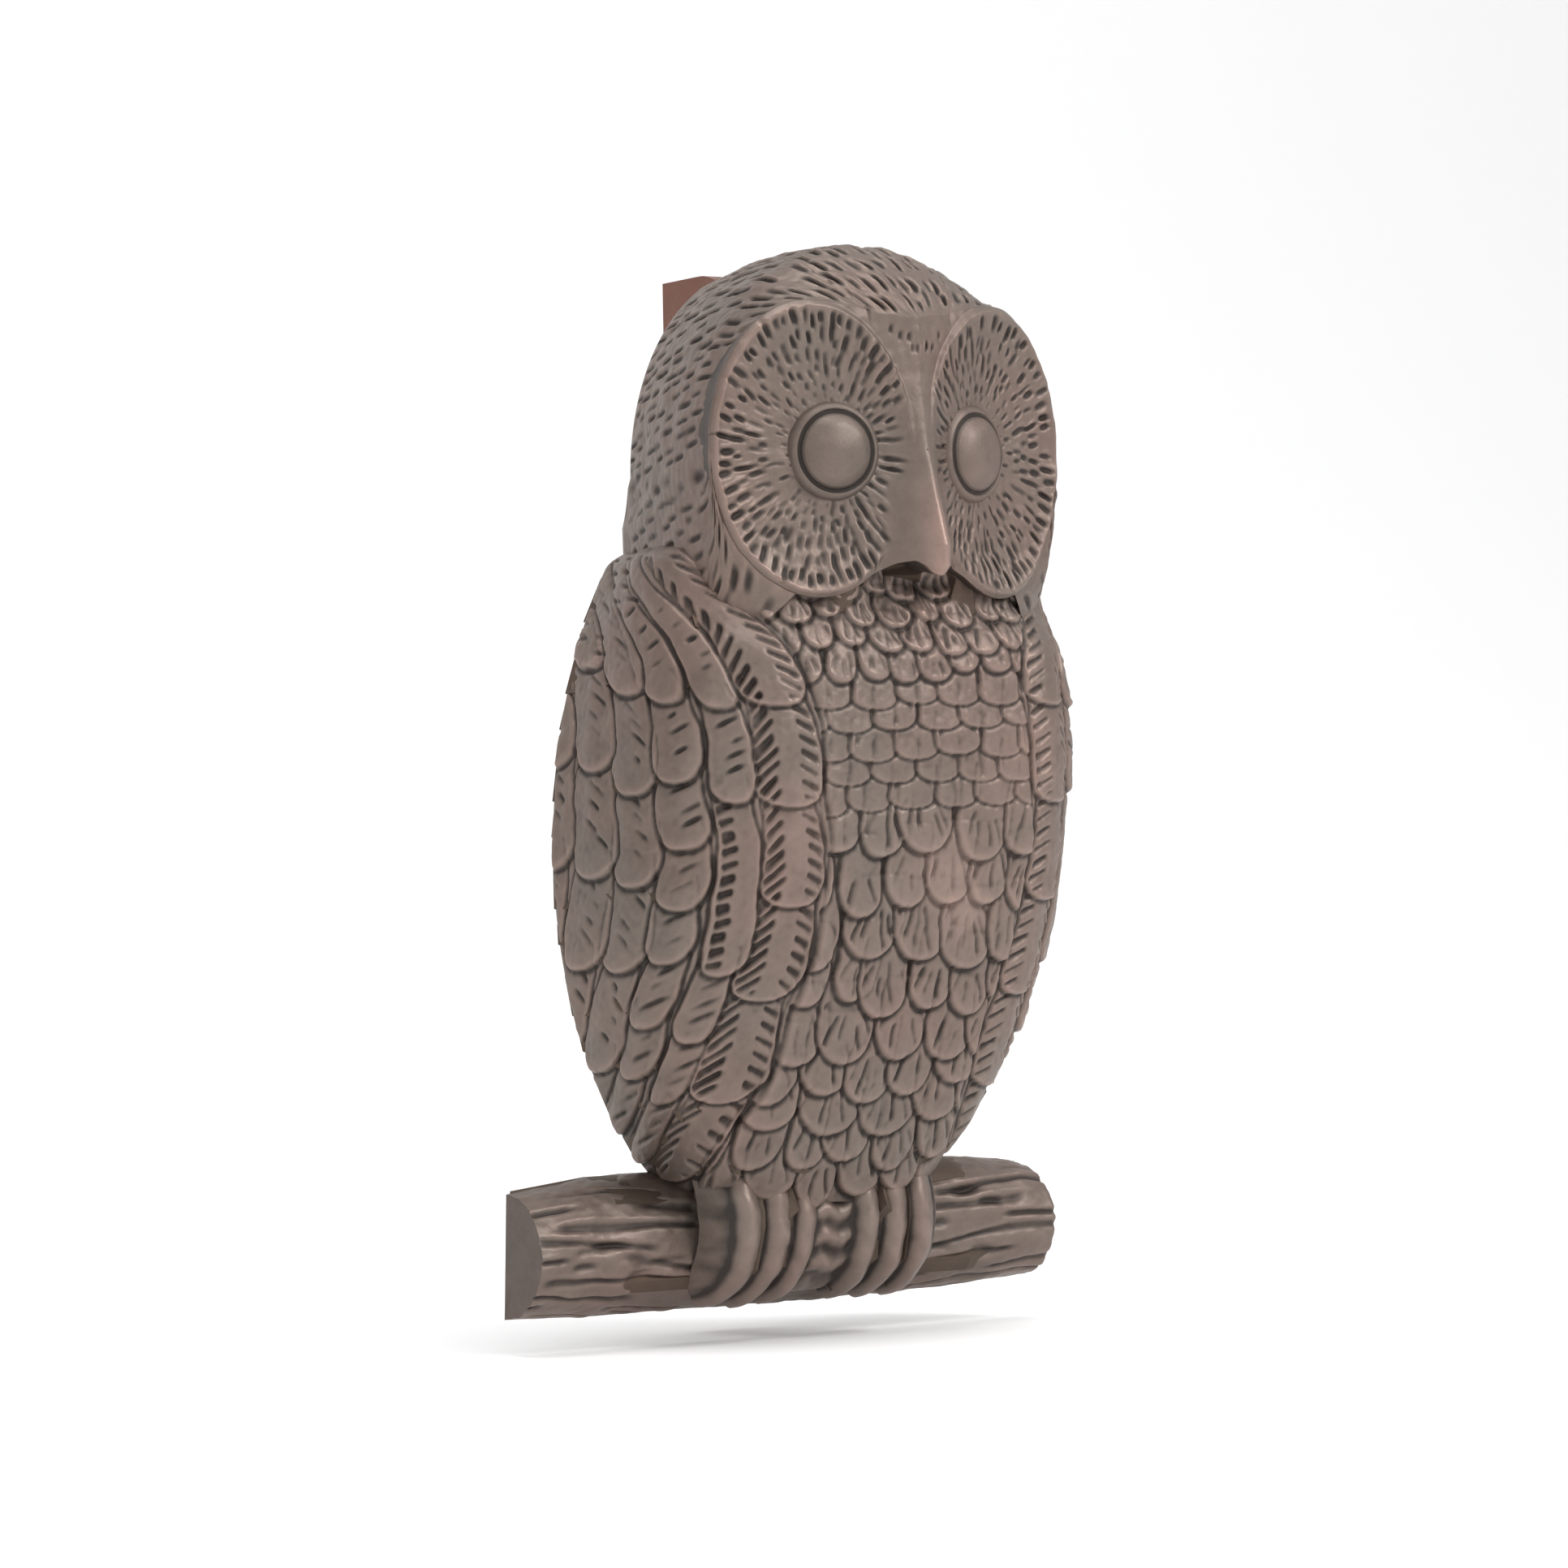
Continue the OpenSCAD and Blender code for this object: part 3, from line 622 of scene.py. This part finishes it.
def make_head():
    """The head's dimpled wall: straight forward from the back edge, then bent round to
    the face's edge."""
    n_phi = 861
    phi = np.radians(np.linspace(-46, 226, n_phi))
    dep = np.arange(0, SIDE_D + 0.01, HEAD_STEP)
    PHI, DEP = np.meshgrid(phi, dep)
    gap = (np.abs(head_point(phi, 0.0)[:, 0]) < NOTCH_X) & (np.sin(phi) > 0)
    DEP = np.where(gap, NOTCH_D + DEP * (1 - NOTCH_D / dep[-1]), DEP)
    side_wall = head_point(PHI, DEP)
    r = np.interp(np.mod(phi + math.pi / 2, 2 * math.pi) - math.pi / 2, psi_face,
                  np.arange(PSI_N), period=2 * math.pi)
    i0 = np.floor(r).astype(int) % PSI_N
    fr = (r - np.floor(r))[:, None]
    rim = face_edge[i0] * (1 - fr) + face_edge[(i0 + 1) % PSI_N] * fr
    turn = head_point(phi, np.full(n_phi, 40.2))
    t = np.linspace(0, 1, 64)[1:, None, None]
    start = side_wall[-1]
    front = start * (1 - t) ** 2 + 2 * t * (1 - t) * turn + rim * t ** 2
    p = np.concatenate([side_wall, front])
    step = np.linalg.norm(np.diff(p, axis=0), axis=2)
    down = np.concatenate([np.zeros((1, n_phi)), np.cumsum(step, axis=0)])
    left = down[-1] - down                       # way to the face's edge
    mid = p[int(20 / HEAD_STEP)]
    run = np.concatenate([[0], np.cumsum(np.linalg.norm(np.diff(mid, axis=0), axis=1))])
    run = np.broadcast_to(run - run[-1] / 2, left.shape)
    f = Field(left.shape)
    for j in range(8):
        d0 = 3.6 + j * 5.3
        for i in range(-31, 32):
            r0 = (i + 0.5 * (j % 2)) * 3.0 + rng.uniform(-0.7, 0.7)
            dd = d0 + rng.uniform(-1.3, 1.3)
            crown = ease((62 - abs(r0)) / 38)
            ln, wd = rng.uniform(2.4, 4.6), rng.uniform(0.9, 1.45)
            dp = (0.45 + 0.5 * crown) * rng.uniform(0.4, 1.2)
            if rng.uniform() < 0.07:
                continue
            f.stroke(run, left, r0 - 0.35, dd - ln / 2, r0 + 0.35, dd + ln / 2, wd, dp, 0.2)
    fade = ease(left / 1.6)
    det = (f.h + 0.2 * lumps(run, left, 9, 4) + 0.06 * lumps(run, left, 2.6, 5)) * fade
    base = normals(p)
    base *= np.sign((base * (p - [0, 20, 150])).sum())
    q = p + base * (det * ease(down / 2))[..., None]
    n = normals(q)
    n *= np.sign((n * base).sum())
    cav = 0.8 * (f.h - blur(f.h, 5, 5)) + 0.3 * f.h * (f.h < 0)
    edge = np.exp(-(left / 1.1) ** 2) * ease((np.abs(p[..., 0]) - 14) / 10)
    # painted highlight along the head's edge next to the face, on the left side only
    wear_and_highlight = 0.3 * edge * (p[..., 0] < 0)
    half = n_phi // 2
    return [skin_piece(nm, q, n, cav, wear_and_highlight, cols=c) for nm, c in (
        ("owl_head_right", (0, half + 1)), ("owl_head_left", (half, n_phi)))]


head_parts = make_head()


# ---------------------------------------------------------------- branch
BL = 58.5                        # half the branch's length
CUT_ROUND = 1.2                  # how far the right end's edge is rounded off
LEAN = 0.8 / 23                  # the left end's slant


def branch_lines(x):
    """Top and underside of the branch along it."""
    top = np.interp(x, [-BL, -50, -42, -34, 34, 42, 52, BL],
                    [22.8, 24.1, 24.9, 25.3, 25.2, 24.9, 24, 22.8])
    low = np.interp(x, [-BL, -42, 10, 40, BL], [0.4, 0.05, 0.05, 0.8, 1.8])
    return top, low


def branch():
    """The bark, a half round with grooves and pits outside the feet, and its two ends."""
    x = np.arange(-BL, BL + 0.01, 0.28)
    th = np.radians(np.arange(-90, 90.5, 1.1))
    X, TH = np.meshgrid(x, th)
    T = np.degrees(TH)
    f = Field(X.shape)
    A = T * 0.2                  # millimetres round the bark
    for side in (-1, 1):
        for k in range(9):
            c0 = -15.6 + 3.3 * k
            ph = 1.7 * k + (2 if side > 0 else 0)
            line = c0 + 0.55 * np.sin(X / 9 + ph) + 0.06 * side * (X - side * 40) * (1 + 0.1 * k)
            wd = 0.55 + 0.4 * (0.5 + 0.5 * np.sin(X / 6.3 + 2.1 * ph)) ** 2
            on = ease((np.sin(X / 8.5 + 2.4 * ph) + 0.85) / 0.4) * (side * X > 20)
            fadein = ease((side * X - 23) / 2) * ease((BL + 0.5 - side * X) / 3 + 0.4)
            f.h -= 0.62 * on * fadein * np.exp(-np.abs((A - line) / wd) ** 2.6)
            f.h += 0.12 * on * fadein * np.exp(-((A - line - wd * 1.7) / 0.5) ** 2)
        for i in range(7):       # lens-shaped pits between the grooves
            x0, t0 = side * rng.uniform(28, 54), rng.uniform(-9, 8)
            f.h -= 0.6 * np.exp(-np.abs((X - x0) / rng.uniform(2.5, 4.5)) ** 3
                                - np.abs((A - t0) / rng.uniform(0.6, 0.9)) ** 2.4)
    det = f.h * ease((66 - T) / 14) + 0.28 * lumps(X, A, 12, 41) + 0.07 * lumps(X, A, 3, 42)
    det = blur(det, 0.6, 0.6) * ease((90 - np.abs(T)) / 7)
    cav = 0.8 * (f.h - blur(f.h, 4, 5)) * ease((66 - T) / 14)
    top, low = branch_lines(X)
    past = np.maximum(0, np.abs(X) - BL + CUT_ROUND) / CUT_ROUND
    round_off = 0.9 * (1 - np.sqrt(np.clip(1 - past ** 2, 0, 1)))
    r = (top - low) / 2 + det - 0.1 - round_off * (X > 0)
    deep = 11.5 * (1 - 0.06 * (X > 0) * X / BL) + det - round_off * (X > 0)
    mid_h = (top + low) / 2
    hgt = mid_h + r * np.sin(TH)
    lean = LEAN * ease(-X / BL) * hgt
    p = np.stack([X + lean, np.maximum(deep * np.cos(TH), 0), np.maximum(hgt, 0.02)], -1)
    n = normals(p)
    n *= np.sign((n * (p - [0, 0, 12])).sum())
    piece = [skin_piece("owl_branch", p, n, cav, 0 * cav)]
    for col, nm in ((0, "owl_branch_end_left"), (-1, "owl_branch_end_right")):
        rim = p[:, col]
        ring = np.concatenate([rim, rim[::-1] * [1, 0, 1]])      # and back along the flat
        s = np.linspace(0, 1, 16)[:, None, None]
        cen = np.array([0, 4.0, 12.0])
        q = ring[None] * (1 - s) + cen * s
        q[..., 0] = (rim[:, 0].mean() + (q[..., 2] - 12) * (LEAN if col == 0 else 0))
        sgn = 1 if col else -1
        inner = q[:1] * [1, 1, 0.97] + [-2.6 * sgn, 0, 0.36]     # the flat back runs on inwards
        inner[:, :len(rim), 1] = np.maximum(inner[:, :len(rim), 1] - 0.9, 0)
        q = np.concatenate([inner, q[:1], q])
        nn = np.zeros_like(q)
        nn[..., 0] = sgn
        nn[:2] = [0, -1, 0]
        cv = -0.1 * np.ones(q.shape[:2])
        piece.append(skin_piece(nm, q, nn, cv, 0 * cv))
    return piece


# ---------------------------------------------------------------- feet
def feet():
    """Three toes a side, coming from under the feathers and wrapping down the branch:
    a strip along that way, depth pd and height ph, with the toes raised on it."""
    pd = [9, 14.5, 18.6, 20.9, 21.8, 21.2, 19.2, 15.6, 10.5, 6]
    ph = [33, 30.5, 26.6, 22, 16.8, 11.8, 7.3, 3.6, 1.5, 0.9]
    t = np.linspace(0, len(pd) - 1, 150)
    D, Hh = np.interp(t, range(len(pd)), pd), np.interp(t, range(len(ph)), ph)
    D, Hh = blur(D[None], 0, 6)[0], blur(Hh[None], 0, 6)[0]
    x = np.arange(-25.5, 25.55, 0.26)
    X, T = np.meshgrid(x, t)
    Dg, Hg = np.broadcast_to(D[:, None], X.shape), np.broadcast_to(Hh[:, None], X.shape)
    tn = T / (len(pd) - 1)
    f = np.full(X.shape, -1.9)
    f += 0.5 * np.sin(Hg * 1.15 + 0.6 * np.sin(X)) * (np.abs(X) < 4)
    for side in (-1, 1):
        for k in (-1, 0, 1):
            c = side * 13.2 + k * 6.2 + (0.9 * tn - 0.3) * side + 0.3 * np.sin(tn * 6 + k + side)
            w = 3.3 - 0.35 * tn - 0.25 * ((k * side) < 0)
            e = np.clip(1 - np.abs((X - c) / w) ** 3.0, 0, 1)
            toe = -1.9 + 2.3 * e ** 0.6 + 0.35 * np.cos((X - c) * 1.1 + 0.6)
            f = np.maximum(f, np.where(e > 0, toe - 0.25 * abs(k), -9))
    f = f + 0.22 * lumps(X, Hg, 7, 51) + 0.08 * lumps(X, Hg, 2.4, 52)
    f = blur(f, 1.2, 1.2)
    drop = 9 * ease((np.abs(X) - 22.4) / 4.5) ** 1.4
    p = np.stack([X, Dg, Hg], -1)
    n = normals(p)
    n *= np.sign((n * [0, 1, 0]).sum())
    q = p + n * f[..., None]
    q[..., 1] -= drop
    q[..., 2] = np.maximum(q[..., 2], 0.15)
    qn = normals(q)
    qn *= np.sign((qn * n).sum())
    return skin_piece("owl_feet", q, qn, 0.8 * cavity(f, 0.26), 0.12 * ease(f))


feet_piece, branch_parts = feet(), branch()


# ---------------------------------------------------------------- hollow back
def core():
    """A copy of the CAD casting, to be drawn in under the sculpted skins."""
    me = bpy.data.objects["owl_casting"].data.copy()
    me.name = "owl_core"
    for key in ("cav", "wear_and_highlight"):
        me.attributes.new(key, "FLOAT", "POINT")
    ob = bpy.data.objects.new("owl_core", me)
    bpy.context.scene.collection.objects.link(ob)
    return ob


WELD = 2e-6                      # vertices nearer than this are one, in metres


def inward(me, co, by):
    """How each vertex moves so that faces seen from outside go in by this much. Vertices
    on the back edge, in the hollow and round the boss stay."""
    _, inv = np.unique(np.round(co / WELD).astype(np.int64), axis=0, return_inverse=True)
    inv = inv.ravel()
    count = inv.max() + 1
    tree = BVHTree.FromPolygons([Vector(c) for c in co], [p.vertices[:] for p in me.polygons])
    total, stays = np.zeros((count, 3)), np.zeros(count, bool)
    for p in me.polygons:
        nrm, cen = p.normal, p.center
        seen = nrm.y < 0.5 and tree.ray_cast(cen + nrm * 1e-5, nrm, 0.3)[0] is None
        if nrm.y > 0.2 and cen.y > -0.03 and abs(cen.x) < 0.02:
            seen = False
        for i in p.vertices:
            if seen:
                total[inv[i]] += np.array(nrm) * p.area
            else:
                stays[inv[i]] = True
    ln = np.linalg.norm(total, axis=1, keepdims=True)
    move = np.where((ln > 0) & ~stays[:, None], -total / np.maximum(ln, 1e-12) * by, 0)
    return move[inv]


def front_skin(x, h):
    """Depth of the carved skin in front of each point, 0 where only the head's wall is."""
    row = np.clip(((h - hs[0]) / STEP).round().astype(int), 0, len(hs) - 1)
    body_d = np.array([np.interp(a, body_skin[j, :, 0], body_skin[j, :, 1])
                       for a, j in zip(x, row)])
    rho = np.hypot(x, h - FACE_C) / np.interp(np.arctan2(h - FACE_C, x), psi_face, rad_face,
                                              period=2 * math.pi)
    cover = np.where(h < 144, body_d, 0)
    return np.where(rho < 1, np.maximum(cover, face_depth(x, h)[0]), cover)


def drawn_in(ob, by):
    """Draws the core's outer face in, holds it behind the skins and shortens its ends."""
    me = ob.data
    co = np.zeros(len(me.vertices) * 3)
    me.vertices.foreach_get("co", co)
    co = co.reshape(-1, 3)
    co += inward(me, co, by)
    x, d, h = co[:, 0] / MM, (HIGH.y - co[:, 1]) / MM, (co[:, 2] - LOW.z) / MM
    cover = front_skin(x, h)
    held = (cover > 25) & (np.abs(x) < 41) & (h > 30)
    under = 0.9 + 1.9 * ease((h - 112) / 6) * ease((148 - h) / 4)
    d = np.where(held, np.minimum(d, cover - under), d)
    co[:, 1] = HIGH.y - d * MM
    co[:, 0] -= np.where(np.abs(x) > BL - 2, np.sign(x) * 1.6 * MM, 0)
    me.vertices.foreach_set("co", co.ravel())
    me.update()
    return ob


core_piece = drawn_in(core(), 2.2 * MM)


# ---------------------------------------------------------------- materials
def node(nt, kind, **kw):
    """A new shader node with its settings."""
    n = nt.nodes.new(kind)
    for k, v in kw.items():
        setattr(n, k, v)
    return n


def ramp(nt, fac, stops):
    """A colour ramp over fac; stops are (position, colour)."""
    r = node(nt, "ShaderNodeValToRGB")
    el = r.color_ramp.elements
    while len(el) < len(stops):
        el.new(0.5)
    for e, (pos, col) in zip(el, stops):
        e.position, e.color = pos, (*col, 1)
    nt.links.new(fac, r.inputs[0])
    return r.outputs[0]


def math_node(nt, op, a, b=None, c=None, clamp=False):
    """A math node whose inputs are numbers or sockets."""
    m = node(nt, "ShaderNodeMath", operation=op, use_clamp=clamp)
    for i, v in enumerate((a, b, c)):
        if v is None:
            continue
        if isinstance(v, (int, float)):
            m.inputs[i].default_value = v
        else:
            nt.links.new(v, m.inputs[i])
    return m.outputs[0]


def mix(nt, fac, a, b, blend="MIX"):
    """Two colours mixed; each input is a number, a colour or a socket."""
    m = node(nt, "ShaderNodeMix", data_type="RGBA", blend_type=blend)
    for sock, v in ((m.inputs[0], fac), (m.inputs[6], a), (m.inputs[7], b)):
        if isinstance(v, (int, float)):
            sock.default_value = v
        elif isinstance(v, tuple):
            sock.default_value = (*v, 1)
        else:
            nt.links.new(v, sock)
    return m.outputs[2]


def noise(nt, co, scale, detail=4, rough=0.55):
    n = node(nt, "ShaderNodeTexNoise")
    n.inputs["Scale"].default_value = scale
    n.inputs["Detail"].default_value = detail
    n.inputs["Roughness"].default_value = rough
    n.inputs["Distortion"].default_value = 0.0
    nt.links.new(co, n.inputs["Vector"])
    return n.outputs["Fac"]


def new_mat(name):
    """A material with its tree, its shader and the object's own coordinates."""
    m = bpy.data.materials.new(name)
    m.use_nodes = True
    nt = m.node_tree
    b = nt.nodes["Principled BSDF"]
    co = node(nt, "ShaderNodeTexCoord").outputs["Object"]
    return m, nt, b, co


def bronze(name, dark, mid, high, rubbed_and_highlight, rough=0.46, metal=0.75):
    """Oiled bronze: dark in cuts, brown on faces, coppery on worn edges and painted highlights."""
    m, nt, b, co = new_mat(name)
    cav = node(nt, "ShaderNodeAttribute", attribute_name="cav").outputs["Fac"]
    wear_and_highlight = node(nt, "ShaderNodeAttribute", attribute_name="wear_and_highlight").outputs["Fac"]
    big, med, fin = noise(nt, co, 38, 3), noise(nt, co, 260, 4), noise(nt, co, 1500, 3)
    level = math_node(nt, "MULTIPLY_ADD", cav, 1.25, 0.5)
    level = math_node(nt, "ADD", level, math_node(nt, "MULTIPLY_ADD", med, 0.22, -0.11))
    level = math_node(nt, "ADD", level, math_node(nt, "MULTIPLY_ADD", fin, 0.16, -0.08), clamp=True)
    col = ramp(nt, level, [(0.0, dark), (0.3, tuple(0.5 * (a + c) for a, c in zip(dark, mid))),
                           (0.52, mid), (0.8, high), (1.0, rubbed_and_highlight)])
    patch = math_node(nt, "MULTIPLY_ADD", big, 1.6, -0.5, clamp=True)
    warm = mix(nt, patch, (0.9, 0.98, 0.95), (1.1, 0.98, 0.94))
    col = mix(nt, 1.0, col, warm, "MULTIPLY")
    # the second attribute mixes in the coppery colour: wear on edges and spots, and painted
    # highlights on the beak's crest and the left rims
    coppery_share = math_node(nt, "MULTIPLY", wear_and_highlight, math_node(nt, "MULTIPLY_ADD", med, 1.0, 0.2), clamp=True)
    col = mix(nt, coppery_share, col, rubbed_and_highlight)
    nt.links.new(col, b.inputs["Base Color"])
    rg = math_node(nt, "MULTIPLY_ADD", level, -0.18, rough + 0.09)
    rg = math_node(nt, "ADD", rg, math_node(nt, "MULTIPLY_ADD", fin, 0.2, -0.1))
    rg = math_node(nt, "ADD", rg, math_node(nt, "MULTIPLY", coppery_share, -0.1))
    nt.links.new(rg, b.inputs["Roughness"])
    b.inputs["Metallic"].default_value = metal
    bump = node(nt, "ShaderNodeBump")
    bump.inputs["Strength"].default_value = 0.25
    bump.inputs["Distance"].default_value = 0.0002
    grain = math_node(nt, "ADD", fin, math_node(nt, "MULTIPLY", med, 1.5))
    nt.links.new(grain, bump.inputs["Height"])
    nt.links.new(bump.outputs[0], b.inputs["Normal"])
    return m


def machined(name, base, dull, rough, stretch=(1, 1, 1), scale=900, metal=0.95):
    """Turned or milled metal with fine tool marks and a dulled, handled surface."""
    m, nt, b, co = new_mat(name)
    mp = node(nt, "ShaderNodeMapping")
    mp.inputs["Scale"].default_value = stretch
    nt.links.new(co, mp.inputs[0])
    marks, blot = noise(nt, mp.outputs[0], scale, 3), noise(nt, co, 220, 4)
    col = mix(nt, math_node(nt, "MULTIPLY_ADD", blot, 1.8, -0.4, clamp=True), dull, base)
    nt.links.new(col, b.inputs["Base Color"])
    nt.links.new(math_node(nt, "ADD", math_node(nt, "MULTIPLY_ADD", marks, 0.16, rough - 0.08),
                           math_node(nt, "MULTIPLY_ADD", blot, -0.12, 0.06)), b.inputs["Roughness"])
    b.inputs["Metallic"].default_value = metal
    bump = node(nt, "ShaderNodeBump")
    bump.inputs["Strength"].default_value = 0.2
    bump.inputs["Distance"].default_value = 0.00008
    nt.links.new(marks, bump.inputs["Height"])
    nt.links.new(bump.outputs[0], b.inputs["Normal"])
    return m


owl_mat = bronze("owl_patina", (0.036, 0.027, 0.024), (0.16, 0.118, 0.102), (0.232, 0.168, 0.146),
                 (0.36, 0.235, 0.195), rough=0.5, metal=0.55)
core_mat = bronze("cast_inside", (0.05, 0.038, 0.032), (0.11, 0.078, 0.062), (0.17, 0.12, 0.095),
                  (0.2, 0.14, 0.1), rough=0.62)
plate_mat = bronze("plate_patina", (0.08, 0.04, 0.032), (0.19, 0.088, 0.066), (0.24, 0.125, 0.095),
                   (0.3, 0.18, 0.13), rough=0.42)
cad_mats = {
    "back_plate": plate_mat,
    "strike_button": machined("bare_bronze", (0.5, 0.34, 0.22), (0.26, 0.17, 0.12), 0.36),
    "hinge_pin": machined("satin_steel", (0.55, 0.54, 0.52), (0.34, 0.33, 0.31), 0.3, (0.15, 1, 1)),
    "thrust_washers": machined("oiled_brass", (0.66, 0.49, 0.22), (0.4, 0.28, 0.13), 0.34),
    "pin_clip": machined("spring_steel", (0.13, 0.13, 0.14), (0.07, 0.065, 0.065), 0.38),
    "hinge_lug": machined("dull_brass", (0.5, 0.36, 0.17), (0.27, 0.19, 0.1), 0.42, (1, 0.2, 1)),
    "lug_bush": machined("bush_brass", (0.7, 0.53, 0.25), (0.45, 0.32, 0.15), 0.3),
    "lug_screws": machined("screw_steel", (0.45, 0.44, 0.42), (0.24, 0.22, 0.2), 0.4),
    "striker": machined("striker_bronze", (0.52, 0.36, 0.24), (0.28, 0.19, 0.13), 0.33),
    "lock_nut": machined("nut_brass", (0.48, 0.35, 0.17), (0.28, 0.2, 0.1), 0.4),
}
for node_name, mat in cad_mats.items():
    ob = bpy.data.objects[node_name]
    if not ob.material_slots:
        ob.data.materials.append(mat)
    for s in ob.material_slots:
        s.material = mat

owl_parts = body_parts + head_parts + face_parts + eyes + [feet_piece] + branch_parts + [core_piece]
for ob in owl_parts:
    ob.data.materials.clear()
    ob.data.materials.append(core_mat if ob is core_piece else owl_mat)
    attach(ob, "owl")
    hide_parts("owl_casting")


# ---------------------------------------------------------------- stage, light, camera
def stage_plane():
    """A pale floor a little below the branch, curving up into a wall behind."""
    z = LOW.z - 0.006
    w, front, back, high, r = 3.0, -2.2, 1.4, 3.0, 0.8
    prof = [(front, z)] + [(back - r + r * math.sin(a), z + r - r * math.cos(a))
                           for a in np.linspace(0, math.pi / 2, 24)] + [(back, z + high)]
    pts = np.array([[(x, y, zz) for x in (-w, w)] for y, zz in prof])
    ob = mesh_piece("stage_floor", pts.reshape(-1, 3), grid_faces(len(prof), 2, False), {})
    m, nt, b, co = new_mat("stage_white")
    pale = ramp(nt, noise(nt, co, 3, 2), [(0.0, (0.93, 0.93, 0.93)), (1.0, (0.95, 0.95, 0.95))])
    nt.links.new(pale, b.inputs["Base Color"])
    b.inputs["Roughness"].default_value = 0.9
    ob.data.materials.append(m)


stage_plane()
CAM_TURN, CAM_ROLL = math.radians(36), math.radians(-1.0)
CAM_R = 1.150                    # from the owl's back edge, in metres
FOCAL = 4.01656                  # focal length over the sensor's width
SHIFT = (0.013613, 0.007712)
aim = Vector((0, HIGH.y, LOW.z + 0.0925))
cam_data = bpy.data.cameras.new("camera")
cam = bpy.data.objects.new("camera", cam_data)
bpy.context.scene.collection.objects.link(cam)
cam.location = aim + Vector((-math.sin(CAM_TURN), -math.cos(CAM_TURN), 0)) * CAM_R
look = (aim - cam.location).to_track_quat("-Z", "Y")
cam.rotation_euler = (look.to_matrix() @ Matrix.Rotation(CAM_ROLL, 3, "Z")).to_euler()
cam_data.lens = FOCAL * cam_data.sensor_width
cam_data.shift_x, cam_data.shift_y = SHIFT
bpy.context.scene.camera = cam


def area(name, loc, size, power):
    """A square light that faces the owl."""
    lamp = bpy.data.lights.new(name, "AREA")
    lamp.size, lamp.energy = size, power
    o = bpy.data.objects.new(name, lamp)
    bpy.context.scene.collection.objects.link(o)
    o.location = loc
    o.rotation_euler = (aim - o.location).to_track_quat("-Z", "Y").to_euler()


area("key", Vector((0.55, -1.1, 0.9)), 0.7, 14)
area("top", Vector((-0.1, -0.2, 1.3)), 0.8, 10)
area("fill", Vector((-1.3, -0.7, 0.3)), 1.0, 2.5)
world = bpy.data.worlds.new("studio")
bpy.context.scene.world = world
world.use_nodes = True
world.node_tree.nodes["Background"].inputs[0].default_value = (1, 1, 1, 1)
world.node_tree.nodes["Background"].inputs[1].default_value = 0.72
bpy.context.scene.view_settings.view_transform = "Standard"
